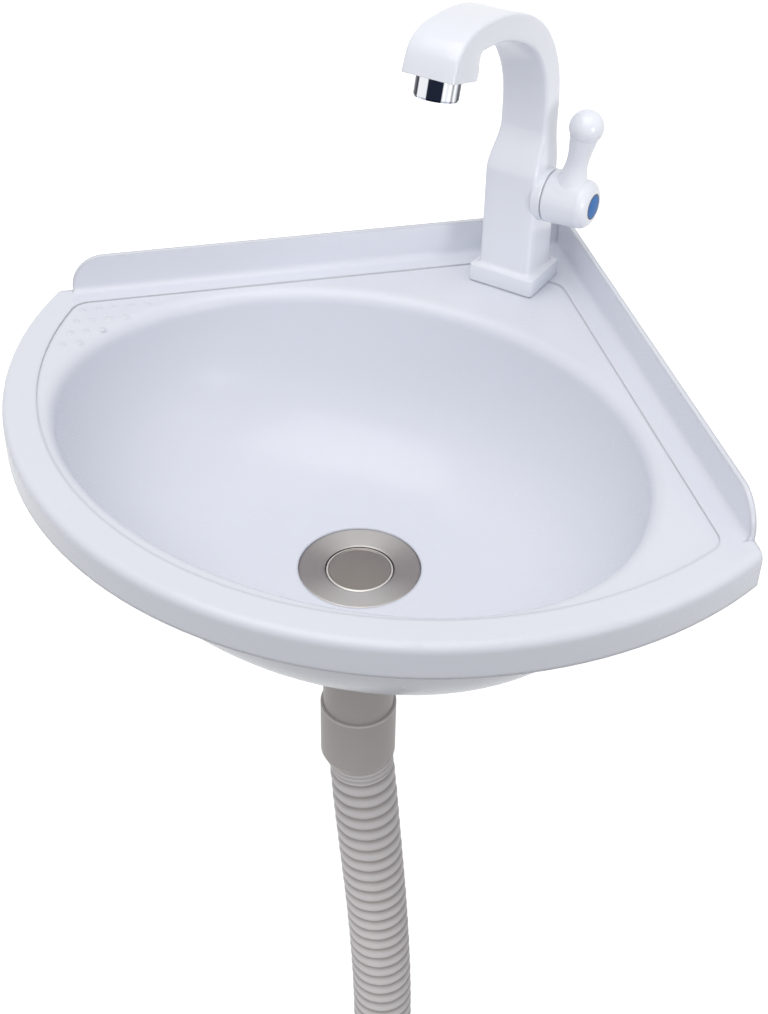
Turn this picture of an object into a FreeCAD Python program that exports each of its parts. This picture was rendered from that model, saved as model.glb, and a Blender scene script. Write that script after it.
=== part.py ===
"""Corner wash basin for two walls, with its pillar tap, push plug waste and hanging hose.

Millimetres, +Z up. The origin is the room corner at deck level: the left wall is the
plane y = 0 and the right wall is x = 0, so the basin fills the quadrant x < 0, y < 0.
Pieces on the diagonal are drawn in a diagonal frame (X away from the corner, Y across
to the right, Z up) and then turned into place.
"""
import FreeCAD, Part
import math
import os
from FreeCAD import Vector

os.makedirs("parts", exist_ok=True)

# ---- clearances ----
FIT = 0.1            # radial, between pieces that stay together
RUN = 0.06           # radial, between a shaft and its bearing
MOVE_GAP = 0.3       # between faces that move past each other

# ---- basin, in plan ----
LEG = 350.0          # reach of the front arc from each wall
ARC_CENTRE = 122.0   # distance of the front arc's centre from each wall
WALL_T = 3.0         # moulded wall
LIP_DEPTH = 19.5     # height of the front band
LIP_ROUND = 4.5      # top edge of the front band
RECESS_DEPTH = 1.0   # the field inside the border lies this much lower
BORDER_WALL = 15.5   # border width along the walls
BORDER_FRONT = 18.6  # border width along the front
RECESS_CORNER = 12.0
RECESS_START = 48.0  # the recess begins this far out from the corner

# ---- upstands and hidden wall skirts ----
UPSTAND_H = 21.8
UPSTAND_END = 11.0   # the upstand stops this far short of the wing tip
UPSTAND_CORNER = 19.5
UPSTAND_FILLET = 4.0
SKIRT_T = 4.0
SKIRT_H = 45.0
SKIRT_LEN = 285.0
SKIRT_CORNER = 16.0
SCREW_R = 3.3
SCREW_NEAR = 80.0    # first screw hole from the corner
SCREW_PITCH = 150.0
SCREW_DROP = 31.0    # below the deck

# ---- bowl ----
RIM_FRONT = 9.9      # mouth to the recess's edge, at the front
RIM_SIDE = 24.4      # the same at the mouth's widest place
RIM_BACK = 37.2      # mouth to the tap's base
BOWL_WIDEST = 21.5   # widest place, this far in front of the waste
BOWL_DEPTH = 104.0   # floor below the deck
BOWL_ROLL = 8.0      # rolled edge of the mouth
BOWL_CURVE = 2.3     # fullness of the wall's curve
FLOOR_R = 48.0       # flat floor round the waste

# ---- soap grip dots on the left wing ----
DOT_R = 2.1
DOT_TIP_R = 1.1
DOT_H = 0.8
DOT_ROWS = 4
DOT_PITCH = 9.4
DOT_TIP_IN = 15.0     # first dot from the wing's tip
DOT_WALL_IN = 24.0    # first row from the wall
DOT_ROW_STEP = 11.5
DOT_COUNTS = (5, 4, 3, 2)

# ---- tap: position and base ----
TAP_OUT = 54.5       # from the corner along the diagonal
TAP_ACROSS = -4.0
TAP_HOLE_R = 11.0
TAIL_R = 10.48       # half inch pipe thread, over its crests
TAIL_LEN = 46.0
SHANK_R = 10.2       # plain part of the tail, through the deck and the nut
THREAD_RELIEF = 0.5
BASE_WIDE = 42.5
BASE_DEEP = 36.0
BASE_H = 10.5
BASE_EDGE = 0.8
GASKET_T = 0.8
GASKET_INSET = 0.8
BODY_WIDE = 33.0
BODY_DEEP = 28.0
BODY_CORNER = 2.6
BODY_TOP = 72.0
BODY_FLARE = 3.0
WASHER_R = 16.5
WASHER_T = 2.0
NUT_FLATS = 30.0
NUT_H = 8.0

# ---- tap: neck ----
TAP_HEIGHT = 187.0
TAP_REACH = 101.0    # base centre to the middle of the mouth
SHOULDER_TOP = 98.0
NECK_SETBACK = 5.5   # neck axis behind the body's
NECK_DEEP = 17.0
NECK_WIDE = 29.0
NECK_CORNER = 4.5
MOUTH_DEEP = 26.5
MOUTH_WIDE = 31.0
RISE_R = 62.0
RISE_SWEEP = 60.0    # degrees, from upright to leaning forward
CURL_R = 20.0
CURL_SWEEP = 60.0    # degrees, from level down to the head
HEAD_LEN = 7.0
MOUTH_TILT = 15.0    # degrees, outlet leans forward from plumb
WATERWAY_R = 4.0
INLET_R = 6.0
INLET_WALL = 6.0     # between the inlet's top and the valve's bore
LINK_R = 2.4         # level passage behind the valve
RISER_R = 2.0        # upright passage from it to the chamber
CHAMBER_R = 7.0
CHAMBER_DEPTH = 4.0

# ---- aerator ----
AERATOR_R = 11.8
AERATOR_OUT = 11.0   # shows below the mouth
AERATOR_IN = 7.0
AERATOR_THREAD_R = 11.0
AERATOR_WALL = 1.6
AERATOR_LIP = 1.2
SCREEN_T = 2.5
SCREEN_RINGS = 3
AERATOR_WASHER_T = 1.5

# ---- valve and handle, on a level axis to the right ----
VALVE_H = 60.0       # axis above the deck
BOSS_R = 15.5
BOSS_OUT = 20.0      # face of the boss from the tap's middle
BORE_R = 10.6
BORE_IN = -9.0
CARTRIDGE_WALL = 1.4
SEAL_T = 2.0
DISC_T = 3.0
SPINDLE_FOOT_T = 3.0
SPINDLE_R = 4.0
HEX_FLATS = 20.0
HEX_T = 4.0
BONNET_R = 7.0
BONNET_T = 7.0
O_RING_WIRE = 1.0
HUB_R = 15.6
HUB_END_R = 14.2
HUB_END = 47.5       # face of the index from the tap's middle
HUB_DOME = 7.0
HUB_BORE_R = 12.2
HUB_BORE_DEPTH = 13.5
HUB_CHAMFER = 1.2
INDEX_R = 7.4
INDEX_T = 1.6
INDEX_CROWN = 0.7
SCREW_HEAD_R = 3.6
SCREW_HEAD_T = 2.4
SCREW_SHANK_R = 2.0
SCREW_BITE = 6.0
LEVER_FOOT = 31.0    # where the lever stands on the hub, from the tap's middle
LEVER_LEAN = 9.0     # degrees, outwards
LEVER_BALL_R = 9.9
LEVER_BALL_UP = 47.0
LEVER_WAIST_R = 6.4
LEVER_WAIST_UP = 24.0
LEVER_ROOT_R = 9.6

# ---- waste ----
DRAIN_OUT = 232.0    # waste axis from the corner along the diagonal
FLANGE_R = 35.0
FLANGE_T = 1.4
FLANGE_DISH = 1.0    # its inner edge lies lower
SEAT_DROP = 3.0      # rebate in the bowl floor
SEAT_T = 3.5
SEAT_PAD_R = 42.0
WASTE_HOLE_R = 22.6
SLEEVE_R = 21.8
SLEEVE_WALL = 1.8
SLEEVE_LEN = 31.0
LEDGE_T = 2.0
LEDGE_IN = 2.4
WASTE_GASKET_T = 1.0
COLLAR_R = 33.0
COLLAR_T = 5.0
WASTE_WALL = 3.0
TAIL_TUBE_R = 21.6
TAIL_TUBE_WALL = 2.6
TAIL_TUBE_END = 244.0    # below the deck

# ---- push plug ----
PLUG_R = 19.4
PLUG_T = 2.4
PLUG_CROWN = 0.6
PLUG_LIFT = 8.0
PLUG_SEAL_T = 1.5
STEM_R = 3.5
STEM_COLLAR_R = 5.4
STEM_COLLAR_T = 2.0
GUIDE_HUB_R = 7.6
GUIDE_CUP_R = 6.0
GUIDE_RING_T = 4.0
GUIDE_FLOOR = 6.0
GUIDE_HUB_H = 24.0
GUIDE_ARM_T = 2.6
GUIDE_ARM_H = 9.0
GUIDE_ARMS = 3
STEM_PAST = 12.0     # stem shows below its guide at rest
SPRING_R = 4.7
SPRING_WIRE = 0.8
SPRING_TURNS = 5
SPRING_STEPS = 12

# ---- hose and cuffs ----
CUFF_TOP = 211.0     # below the deck
CUFF_R = 23.3
CUFF_LEN = 40.0
CUFF_TAPER = 6.0
CUFF_SEAL_T = 3.0
HOSE_R = 20.6
HOSE_GROOVE = 1.3
HOSE_WALL = 1.3      # under the grooves
RIB_PITCH = 10.4
RIB_CREST = 6.2
RIB_FLANK = 1.1
RIB_COUNT = 46
HOSE_LEAN_AZ = -13.7     # degrees in plan, the way the hose drifts
HOSE_ROUTE = (           # drift and drop from the cuff
    (0.0, 0.0),
    (0.0, 76.0),
    (7.6, 164.0),
    (14.6, 262.0),
    (17.8, 348.0),
    (17.6, 424.0),
    (17.6, 500.0),
)
END_CUFF_R = 23.0
END_CUFF_LEN = 22.0
SPIGOT_R = 20.0
SPIGOT_LEN = 30.0
SPIGOT_WALL = 2.4

# ---- levels and places worked out from the above ----
UPRIGHT = 90.0
COS45 = math.sqrt(0.5)
DIAGONAL_AZ = 225.0
ARC_R = LEG - ARC_CENTRE
WING = ARC_CENTRE + math.sqrt(ARC_R ** 2 - ARC_CENTRE ** 2)
DECK_T = WALL_T + RECESS_DEPTH
BOWL_OUT = DRAIN_OUT + BOWL_WIDEST
RIM_R = ARC_R - BORDER_FRONT
BOWL_HALF = math.sqrt((RIM_R - RIM_SIDE) ** 2 - (BOWL_OUT - ARC_CENTRE / COS45) ** 2)
BOWL_FRONT = ARC_CENTRE / COS45 + RIM_R - RIM_FRONT - BOWL_OUT
BOWL_BACK = BOWL_OUT - TAP_OUT - BASE_DEEP / 2 - RIM_BACK
SEAT_Z = -BOWL_DEPTH - SEAT_DROP
SEAT_UNDER_Z = SEAT_Z - SEAT_T
COLLAR_Z = SEAT_UNDER_Z - WASTE_GASKET_T
FLANGE_Z = SEAT_Z + WASTE_GASKET_T
SLEEVE_IN_R = SLEEVE_R - SLEEVE_WALL
SLEEVE_END_Z = FLANGE_Z - SLEEVE_LEN
WASTE_BORE_R = SLEEVE_R + FIT
GUIDE_Z = SLEEVE_END_Z - GUIDE_RING_T
TAIL_BORE_R = TAIL_TUBE_R - TAIL_TUBE_WALL
PLUG_TOP_Z = FLANGE_Z + FLANGE_T - FLANGE_DISH
PLUG_LOW_Z = PLUG_TOP_Z - PLUG_T
LEDGE_Z = PLUG_LOW_Z - PLUG_SEAL_T
GUIDE_FLOOR_Z = GUIDE_Z + GUIDE_FLOOR
GUIDE_TOP_Z = GUIDE_Z + GUIDE_HUB_H
STEM_LOW_Z = GUIDE_Z - STEM_PAST
STEM_COLLAR_Z = GUIDE_TOP_Z - MOVE_GAP - STEM_COLLAR_T
HOSE_TOP_Z = -CUFF_TOP - CUFF_LEN - CUFF_TAPER
HOSE_BORE_R = HOSE_R - HOSE_GROOVE - HOSE_WALL
NECK_TOP_Z = TAP_HEIGHT - NECK_DEEP / 2


# ---- small makers ----
def tube(outer, inner, low, high):
    """Ring about the Z axis."""
    ring = Part.makeCylinder(outer, high - low, Vector(0, 0, low))
    if inner > 0:
        ring = ring.cut(Part.makeCylinder(inner, high - low, Vector(0, 0, low)))
    return ring


def turned(profile):
    """Solid of revolution of (radius, height) points about the Z axis."""
    points = [Vector(r, 0, z) for r, z in profile]
    face = Part.Face(Part.makePolygon(points + points[:1]))
    return face.revolve(Vector(0, 0, 0), Vector(0, 0, 1), 360)


def turned_edges(edges):
    """Solid of revolution of a closed run of edges in the XZ plane."""
    return Part.Face(Part.Wire(edges)).revolve(Vector(0, 0, 0), Vector(0, 0, 1), 360)


def line(a, b):
    return Part.LineSegment(a, b).toShape()


def arc(a, middle, b):
    return Part.Arc(a, middle, b).toShape()


def crown_arc(radius, low, crown):
    """Shallow dome from its rim to the Z axis, centred on the axis."""
    ball = (radius ** 2 + crown ** 2) / (2 * crown)
    half_way = low + crown - ball + math.sqrt(ball ** 2 - radius ** 2 / 4)
    return arc(Vector(radius, 0, low), Vector(radius / 2, 0, half_way), Vector(0, 0, low + crown))


def hexagon(flats, bore, low, high):
    """Six-sided nut about the Z axis."""
    corner = flats / math.sqrt(3)
    points = [
        Vector(corner * math.cos(math.radians(60 * k)), corner * math.sin(math.radians(60 * k)), low)
        for k in range(6)
    ]
    body = Part.Face(Part.makePolygon(points + points[:1])).extrude(Vector(0, 0, high - low))
    return body.cut(Part.makeCylinder(bore, high - low, Vector(0, 0, low)))


def on_diagonal(shape, out, across=0.0):
    """Moves a shape from the diagonal frame to its place in the room."""
    placed = shape.copy()
    placed.translate(Vector(out, across, 0))
    placed.rotate(Vector(0, 0, 0), Vector(0, 0, 1), DIAGONAL_AZ)
    return placed


def at_drain(shape):
    return on_diagonal(shape, DRAIN_OUT)


def on_tap(shape):
    return on_diagonal(shape, TAP_OUT, TAP_ACROSS)


def on_valve(shape):
    """Lays a shape made along Z onto the valve's level axis, then onto the tap."""
    laid = shape.copy()
    laid.rotate(Vector(0, 0, 0), Vector(1, 0, 0), -UPRIGHT)
    laid.translate(Vector(0, 0, VALVE_H))
    return on_tap(laid)


def both_walls(shape):
    """The shape made for the left wall, and its mirror image on the right wall."""
    return shape, shape.mirror(Vector(0, 0, 0), Vector(1, -1, 0))


def edges_where(shape, test):
    return [edge for edge in shape.Edges if test(edge)]


def level(edge, z):
    box = edge.BoundBox
    return abs(box.ZMin - z) < 0.01 and abs(box.ZMax - z) < 0.01


# ---- basin ----
def corner_outline(inset, arc_inset, z):
    """Plan outline: straight along both walls, one arc in front."""
    radius = ARC_R - arc_inset
    half = math.sqrt(radius ** 2 - (ARC_CENTRE - inset) ** 2)
    back = Vector(-inset, -inset, z)
    left = Vector(-ARC_CENTRE - half, -inset, z)
    right = Vector(-inset, -ARC_CENTRE - half, z)
    nose = -ARC_CENTRE - radius * COS45
    return Part.Wire([line(back, left), arc(left, Vector(nose, nose, z), right), line(right, back)])


def corner_prism(inset, arc_inset, low, high):
    return Part.Face(corner_outline(inset, arc_inset, low)).extrude(Vector(0, 0, high - low))


def deck():
    """Deck plate with its turned-down front band."""
    block = corner_prism(0, 0, -LIP_DEPTH, 0)
    front = edges_where(block, lambda e: level(e, 0) and e.Length > 1.2 * ARC_R)
    front = [e for e in front if e.Curve.TypeId == "Part::GeomCircle"]
    block = block.makeFillet(LIP_ROUND, front)
    return block.cut(corner_prism(SKIRT_T, WALL_T, -LIP_DEPTH, -DECK_T))


def upstand():
    """Low splash wall on the left, coved into the deck, with its outer top corner rounded."""
    end = UPSTAND_END - WING
    shoulder = UPSTAND_H - UPSTAND_CORNER
    bend = UPSTAND_CORNER * (1 - COS45)
    points = (
        Vector(0, 0, -DECK_T),
        Vector(end, 0, -DECK_T),
        Vector(end, 0, shoulder),
        Vector(end + bend, 0, UPSTAND_H - bend),
        Vector(end + UPSTAND_CORNER, 0, UPSTAND_H),
        Vector(0, 0, UPSTAND_H),
    )
    edges = [
        line(points[0], points[1]),
        line(points[1], points[2]),
        arc(points[2], points[3], points[4]),
        line(points[4], points[5]),
        line(points[5], points[0]),
    ]
    foot = WALL_T + UPSTAND_FILLET
    hollow = UPSTAND_FILLET * (1 - COS45)
    section = (
        Vector(0, 0, -DECK_T),
        Vector(0, 0, UPSTAND_H),
        Vector(0, -WALL_T, UPSTAND_H),
        Vector(0, -WALL_T, UPSTAND_FILLET),
        Vector(0, -WALL_T - hollow, hollow),
        Vector(0, -foot, 0),
        Vector(0, -foot, -DECK_T),
    )
    coved = Part.Wire([
        line(section[0], section[1]),
        line(section[1], section[2]),
        line(section[2], section[3]),
        arc(section[3], section[4], section[5]),
        line(section[5], section[6]),
        line(section[6], section[0]),
    ])
    strip = Part.Face(coved).extrude(Vector(end, 0, 0))
    return strip.common(Part.Face(Part.Wire(edges)).extrude(Vector(0, -foot, 0)))


def skirt():
    """Hidden wall flange under the deck, with two screw holes."""
    low = -SKIRT_H
    bend = SKIRT_CORNER * (1 - COS45)
    a = Vector(0, 0, -RECESS_DEPTH)
    b = Vector(-SKIRT_LEN, 0, -RECESS_DEPTH)
    c = Vector(-SKIRT_LEN, 0, low + SKIRT_CORNER)
    d = Vector(-SKIRT_LEN + bend, 0, low + bend)
    e = Vector(-SKIRT_LEN + SKIRT_CORNER, 0, low)
    f = Vector(0, 0, low)
    outline = Part.Wire([line(a, b), line(b, c), arc(c, d, e), line(e, f), line(f, a)])
    plate = Part.Face(outline).extrude(Vector(0, -SKIRT_T, 0))
    for along in (SCREW_NEAR, SCREW_NEAR + SCREW_PITCH):
        hole = Part.makeCylinder(SCREW_R, SKIRT_T, Vector(-along, 0, -SCREW_DROP), Vector(0, -1, 0))
        plate = plate.cut(hole)
    return plate


def bowl_ring(z, fraction, grow):
    """One egg-shaped level of the bowl: narrower towards the front than the back."""
    centre = DRAIN_OUT + (BOWL_OUT - DRAIN_OUT) * fraction
    half = FLOOR_R + (BOWL_HALF - FLOOR_R) * fraction + grow
    front = FLOOR_R + (BOWL_FRONT - FLOOR_R) * fraction + grow
    back = FLOOR_R + (BOWL_BACK - FLOOR_R) * fraction + grow
    steps = 32
    points = []
    for k in range(steps):
        turn = 2 * math.pi * k / steps
        reach = front if math.cos(turn) > 0 else back
        points.append(Vector(centre + reach * math.cos(turn), half * math.sin(turn), z))
    curve = Part.BSplineCurve()
    curve.interpolate(points, PeriodicFlag=True)
    return Part.Wire([curve.toShape()])


def bowl_form(grow):
    """The bowl's hollow, or its outside when grown by the wall."""
    top = -RECESS_DEPTH
    depth = BOWL_DEPTH + grow + top
    rings = []
    for t in (0.0, 0.12, 0.26, 0.42, 0.58, 0.72, 0.84, 0.93, 0.98, 1.0):
        fraction = (1 - t ** BOWL_CURVE) ** (1 / BOWL_CURVE)
        rings.append(bowl_ring(top - depth * t, fraction, grow))
    return on_diagonal(Part.makeLoft(rings, True, False), 0)


def recess():
    """Shallow field inside the border, cut off behind the tap."""
    field = corner_prism(BORDER_WALL, BORDER_FRONT, -RECESS_DEPTH, LIP_ROUND)
    behind = Part.makeBox(RECESS_START, 2 * LEG, LEG, Vector(0, -LEG, -LEG / 2))
    field = field.cut(on_diagonal(behind, 0))
    upright = edges_where(field, lambda e: e.BoundBox.ZLength > RECESS_DEPTH and e.Length < LEG / 9)
    field = field.makeFillet(RECESS_CORNER, upright)
    island = Part.makeBox(
        BASE_DEEP - 2 * GASKET_INSET,
        BASE_WIDE - 2 * GASKET_INSET,
        LEG,
        Vector(GASKET_INSET - BASE_DEEP / 2, GASKET_INSET - BASE_WIDE / 2, -LEG / 2),
    )
    return field.cut(on_tap(island))


def grip_dots():
    """Staggered rows of small raised dots that keep soap from sliding."""
    dots = []
    for row in range(DOT_ROWS):
        y = -DOT_WALL_IN - row * DOT_ROW_STEP
        start = DOT_TIP_IN - WING - DOT_PITCH / 2 * row
        for k in range(DOT_COUNTS[row]):
            place = Vector(start + k * DOT_PITCH, y, -RECESS_DEPTH)
            dots.append(Part.makeCone(DOT_R, DOT_TIP_R, DOT_H, place))
    return dots


def basin():
    shell = deck().fuse(list(both_walls(upstand()))).removeSplitter()
    shell = shell.cut(recess())
    shell = shell.fuse(bowl_form(WALL_T)).removeSplitter()
    root = edges_where(shell, lambda e: level(e, -DECK_T) and e.Length > BOWL_HALF * 5)
    shell = shell.makeFillet(BOWL_ROLL - WALL_T, root)
    shell = shell.fuse(list(both_walls(skirt())))
    pad = tube(SEAT_PAD_R, 0, SEAT_UNDER_Z, -BOWL_DEPTH)
    shell = shell.fuse(at_drain(pad))
    shell = shell.cut(bowl_form(0))
    mouth = edges_where(shell, lambda e: level(e, -RECESS_DEPTH) and BOWL_HALF * 5 < e.Length < BOWL_HALF * 6)
    shell = shell.makeFillet(BOWL_ROLL, mouth)
    seat = tube(FLANGE_R + MOVE_GAP, 0, SEAT_Z, -BOWL_DEPTH + SEAT_DROP)
    hole = tube(WASTE_HOLE_R, 0, SEAT_UNDER_Z, SEAT_Z)
    shell = shell.cut([at_drain(seat), at_drain(hole)])
    shell = shell.cut(on_tap(tube(TAP_HOLE_R, 0, -DECK_T, 0)))
    return shell.fuse(grip_dots())


# ---- tap body ----
def rounded_section(forward, height, heading, deep, wide, corner):
    """Rounded rectangle square to the neck; heading is in degrees above level."""
    lean = math.radians(heading)
    across_neck = Vector(math.sin(lean), 0, -math.cos(lean))
    sideways = Vector(0, 1, 0)
    middle = Vector(forward, 0, height)
    u, v = deep / 2, wide / 2
    near = corner * (1 - COS45)

    def at(a, b):
        return middle + across_neck * a + sideways * b

    edges = []
    for sx, sy in ((1, 1), (-1, 1), (-1, -1), (1, -1)):
        on_side = at(sx * u, sy * (v - corner))
        on_end = at(sx * (u - corner), sy * v)
        bend = at(sx * (u - near), sy * (v - near))
        if sx * sy > 0:
            edges.append((on_side, bend, on_end))
        else:
            edges.append((on_end, bend, on_side))
    wire = []
    for k in range(4):
        first, bend, last = edges[k]
        wire.append(arc(first, bend, last))
        wire.append(line(last, edges[(k + 1) % 4][0]))
    return Part.Wire(wire)


def neck_curve():
    """Neck's centreline: its start, and for each run its radius, sweep and steps."""
    mouth_heading = MOUTH_TILT - UPRIGHT
    head = math.radians((mouth_heading - CURL_SWEEP) / 2)
    rise, curl = math.radians(RISE_SWEEP), math.radians(CURL_SWEEP)
    lean = math.radians(UPRIGHT) - rise
    fixed = RISE_R * (1 - math.cos(rise)) + CURL_R * math.sin(curl) + HEAD_LEN * math.cos(head)
    arch_r = (TAP_REACH + NECK_SETBACK - fixed) / math.sin(lean)
    start_z = NECK_TOP_Z - RISE_R * math.sin(rise) - arch_r * (1 - math.cos(lean))
    turns = ((RISE_R, RISE_SWEEP, 3), (arch_r, UPRIGHT - RISE_SWEEP, 2), (CURL_R, CURL_SWEEP, 3))
    return start_z, turns, head, mouth_heading


def turned_by(station, radius, sweep):
    """Where the centreline is after an arc: (forward, height, heading above level)."""
    forward, height, heading = station
    before, after = math.radians(heading), math.radians(heading - sweep)
    forward += radius * (math.sin(before) - math.sin(after))
    height += radius * (math.cos(after) - math.cos(before))
    return forward, height, heading - sweep


def neck_stations():
    """Places along the centreline where the neck has a section."""
    start_z, turns, head, mouth_heading = neck_curve()
    stations = [(-NECK_SETBACK, start_z, UPRIGHT)]
    for radius, sweep, steps in turns:
        for _ in range(steps):
            stations.append(turned_by(stations[-1], radius, sweep / steps))
    forward, height, _ = stations[-1]
    stations.append((forward + HEAD_LEN * math.cos(head), height + HEAD_LEN * math.sin(head), mouth_heading))
    return stations


def smooth(t):
    return t * t * (3 - 2 * t)


def neck():
    """Shoulder, swan neck and flared head in one loft."""
    sections = []
    for t in (0.0, 0.2, 0.4, 0.6, 0.8, 1.0):
        blend = smooth(t)
        sections.append(rounded_section(
            -NECK_SETBACK * blend,
            BODY_TOP + (SHOULDER_TOP - BODY_TOP) * t,
            UPRIGHT,
            BODY_DEEP + (NECK_DEEP - BODY_DEEP) * blend,
            BODY_WIDE + (NECK_WIDE - BODY_WIDE) * blend,
            BODY_CORNER + (NECK_CORNER - BODY_CORNER) * blend,
        ))
    stations = neck_stations()
    curl_from = len(stations) - 5
    for k, (forward, height, heading) in enumerate(stations):
        flare = smooth(max(0, k - curl_from) / 4)
        sections.append(rounded_section(
            forward,
            height,
            heading,
            NECK_DEEP + (MOUTH_DEEP - NECK_DEEP) * flare,
            NECK_WIDE + (MOUTH_WIDE - NECK_WIDE) * flare,
            NECK_CORNER,
        ))
    return Part.makeLoft(sections, True, False)


def mouth_frame():
    """Middle of the spout's mouth and the way the water leaves."""
    forward, height, heading = neck_stations()[-1]
    lean = math.radians(heading)
    return Vector(forward, 0, height), Vector(math.cos(lean), 0, math.sin(lean))


def at_mouth(shape):
    """Moves a shape made along Z, with +Z inwards, to the mouth."""
    middle, out = mouth_frame()
    turn = FreeCAD.Rotation(Vector(0, 0, 1), out * -1)
    placed = shape.copy()
    placed.Placement = FreeCAD.Placement(middle, turn)
    return on_tap(placed)


def neck_waterway():
    """Round passage from the valve up the neck and down to the aerator."""
    start_z, turns, _, _ = neck_curve()
    here = (-NECK_SETBACK, start_z, UPRIGHT)
    start = Vector(-NECK_SETBACK, 0, VALVE_H)
    edges = [line(start, Vector(here[0], 0, here[1]))]
    for radius, sweep, _ in turns:
        half, end = turned_by(here, radius, sweep / 2), turned_by(here, radius, sweep)
        edges.append(arc(*[Vector(forward, 0, height) for forward, height, _ in (here, half, end)]))
        here = end
    ring = Part.Wire([Part.makeCircle(WATERWAY_R, start, Vector(0, 0, 1))])
    return Part.Wire(edges).makePipeShell([ring], True, True)


def inlet_waterway():
    """From the tail up to the chamber behind the valve's discs."""
    back = BORE_IN - CHAMBER_DEPTH
    chamber = tube(CHAMBER_R, 0, back, BORE_IN)
    chamber.rotate(Vector(0, 0, 0), Vector(1, 0, 0), -UPRIGHT)
    chamber.translate(Vector(0, 0, VALVE_H))
    inlet_top = VALVE_H - BORE_R - INLET_WALL
    inlet = Part.makeCylinder(INLET_R, inlet_top + TAIL_LEN, Vector(0, 0, -TAIL_LEN))
    link_z = inlet_top - 2 * LINK_R
    riser = Part.makeCylinder(RISER_R, VALVE_H - link_z, Vector(0, back + LINK_R, link_z))
    link = Part.makeCylinder(LINK_R, LINK_R - back, Vector(0, back, link_z), Vector(0, 1, 0))
    return chamber.fuse([inlet, riser, link])


def tap_body():
    plate = Part.makeBox(
        BASE_DEEP, BASE_WIDE, BASE_H - GASKET_T, Vector(-BASE_DEEP / 2, -BASE_WIDE / 2, GASKET_T))
    plate = plate.makeFillet(BODY_CORNER, edges_where(plate, lambda e: e.BoundBox.ZLength > 1))
    plate = plate.makeFillet(BASE_EDGE, edges_where(plate, lambda e: level(e, BASE_H)))
    column = Part.Face(rounded_section(0, BASE_H / 2, UPRIGHT, BODY_DEEP, BODY_WIDE, BODY_CORNER))
    column = column.extrude(Vector(0, 0, BODY_TOP - BASE_H / 2))
    body = plate.fuse(column).removeSplitter()
    joint = edges_where(
        body,
        lambda e: level(e, BASE_H) and e.BoundBox.XMax < BODY_DEEP / 2 + 0.1
        and e.BoundBox.XMin > -BODY_DEEP / 2 - 0.1 and abs(e.CenterOfMass.y) < BODY_WIDE / 2 + 0.1)
    body = body.makeFillet(BODY_FLARE, joint)
    body = body.fuse(neck()).removeSplitter()
    boss = turned([
        (0, 0), (BOSS_R, 0), (BOSS_R, BOSS_OUT - HUB_CHAMFER), (BOSS_R - HUB_CHAMFER, BOSS_OUT), (0, BOSS_OUT)])
    boss.rotate(Vector(0, 0, 0), Vector(1, 0, 0), -UPRIGHT)
    boss.translate(Vector(0, 0, VALVE_H))
    thread_top = -DECK_T - WASHER_T - NUT_H - THREAD_RELIEF
    shank = Part.makeCylinder(SHANK_R, BASE_H / 2 - thread_top, Vector(0, 0, thread_top))
    thread = Part.makeCylinder(TAIL_R, TAIL_LEN + thread_top, Vector(0, 0, -TAIL_LEN))
    body = body.fuse([boss, shank, thread])
    bore = tube(BORE_R, 0, BORE_IN, BOSS_OUT)
    bore.rotate(Vector(0, 0, 0), Vector(1, 0, 0), -UPRIGHT)
    bore.translate(Vector(0, 0, VALVE_H))
    body = body.cut(bore).cut(inlet_waterway()).cut(neck_waterway())
    body = on_tap(body)
    return body.cut(at_mouth(tube(AERATOR_THREAD_R + FIT, 0, 0, AERATOR_IN + AERATOR_WASHER_T)))


def tap_gasket():
    plate = Part.makeBox(
        BASE_DEEP - 2 * GASKET_INSET,
        BASE_WIDE - 2 * GASKET_INSET,
        GASKET_T,
        Vector(GASKET_INSET - BASE_DEEP / 2, GASKET_INSET - BASE_WIDE / 2, 0),
    )
    return on_tap(plate.cut(tube(TAP_HOLE_R, 0, 0, GASKET_T)))


def tap_washer():
    return on_tap(tube(WASHER_R, SHANK_R + FIT, -DECK_T - WASHER_T, -DECK_T))


def tap_backnut():
    top = -DECK_T - WASHER_T
    return on_tap(hexagon(NUT_FLATS, SHANK_R + FIT, top - NUT_H, top))


# ---- aerator, drawn with +Z into the mouth ----
def aerator_shell():
    inner = AERATOR_THREAD_R - AERATOR_WALL
    lip = inner - AERATOR_LIP
    profile = (
        (lip, -AERATOR_OUT),
        (AERATOR_R - AERATOR_LIP / 2, -AERATOR_OUT),
        (AERATOR_R, -AERATOR_OUT + AERATOR_LIP),
        (AERATOR_R, -FIT),
        (AERATOR_THREAD_R, -FIT),
        (AERATOR_THREAD_R, AERATOR_IN),
        (inner, AERATOR_IN),
        (inner, -AERATOR_OUT + AERATOR_LIP),
        (lip, -AERATOR_OUT + AERATOR_LIP),
    )
    return at_mouth(turned(profile))


def aerator_screen():
    """Perforated jet disc that sits on the shell's lower lip."""
    radius = AERATOR_THREAD_R - AERATOR_WALL - FIT
    low = -AERATOR_OUT + AERATOR_LIP
    disc = tube(radius, 0, low, low + SCREEN_T)
    pitch = radius / (SCREEN_RINGS + 0.5)
    holes = []
    for ring in range(1, SCREEN_RINGS + 1):
        for k in range(6 * ring):
            turn = 2 * math.pi * k / (6 * ring)
            place = Vector(pitch * ring * math.cos(turn), pitch * ring * math.sin(turn), low)
            holes.append(Part.makeBox(pitch / 2, pitch / 2, SCREEN_T, place - Vector(pitch / 4, pitch / 4, 0)))
    return at_mouth(disc.cut(holes))


def aerator_washer():
    return at_mouth(tube(AERATOR_THREAD_R, WATERWAY_R + 1, AERATOR_IN, AERATOR_IN + AERATOR_WASHER_T))


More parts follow.
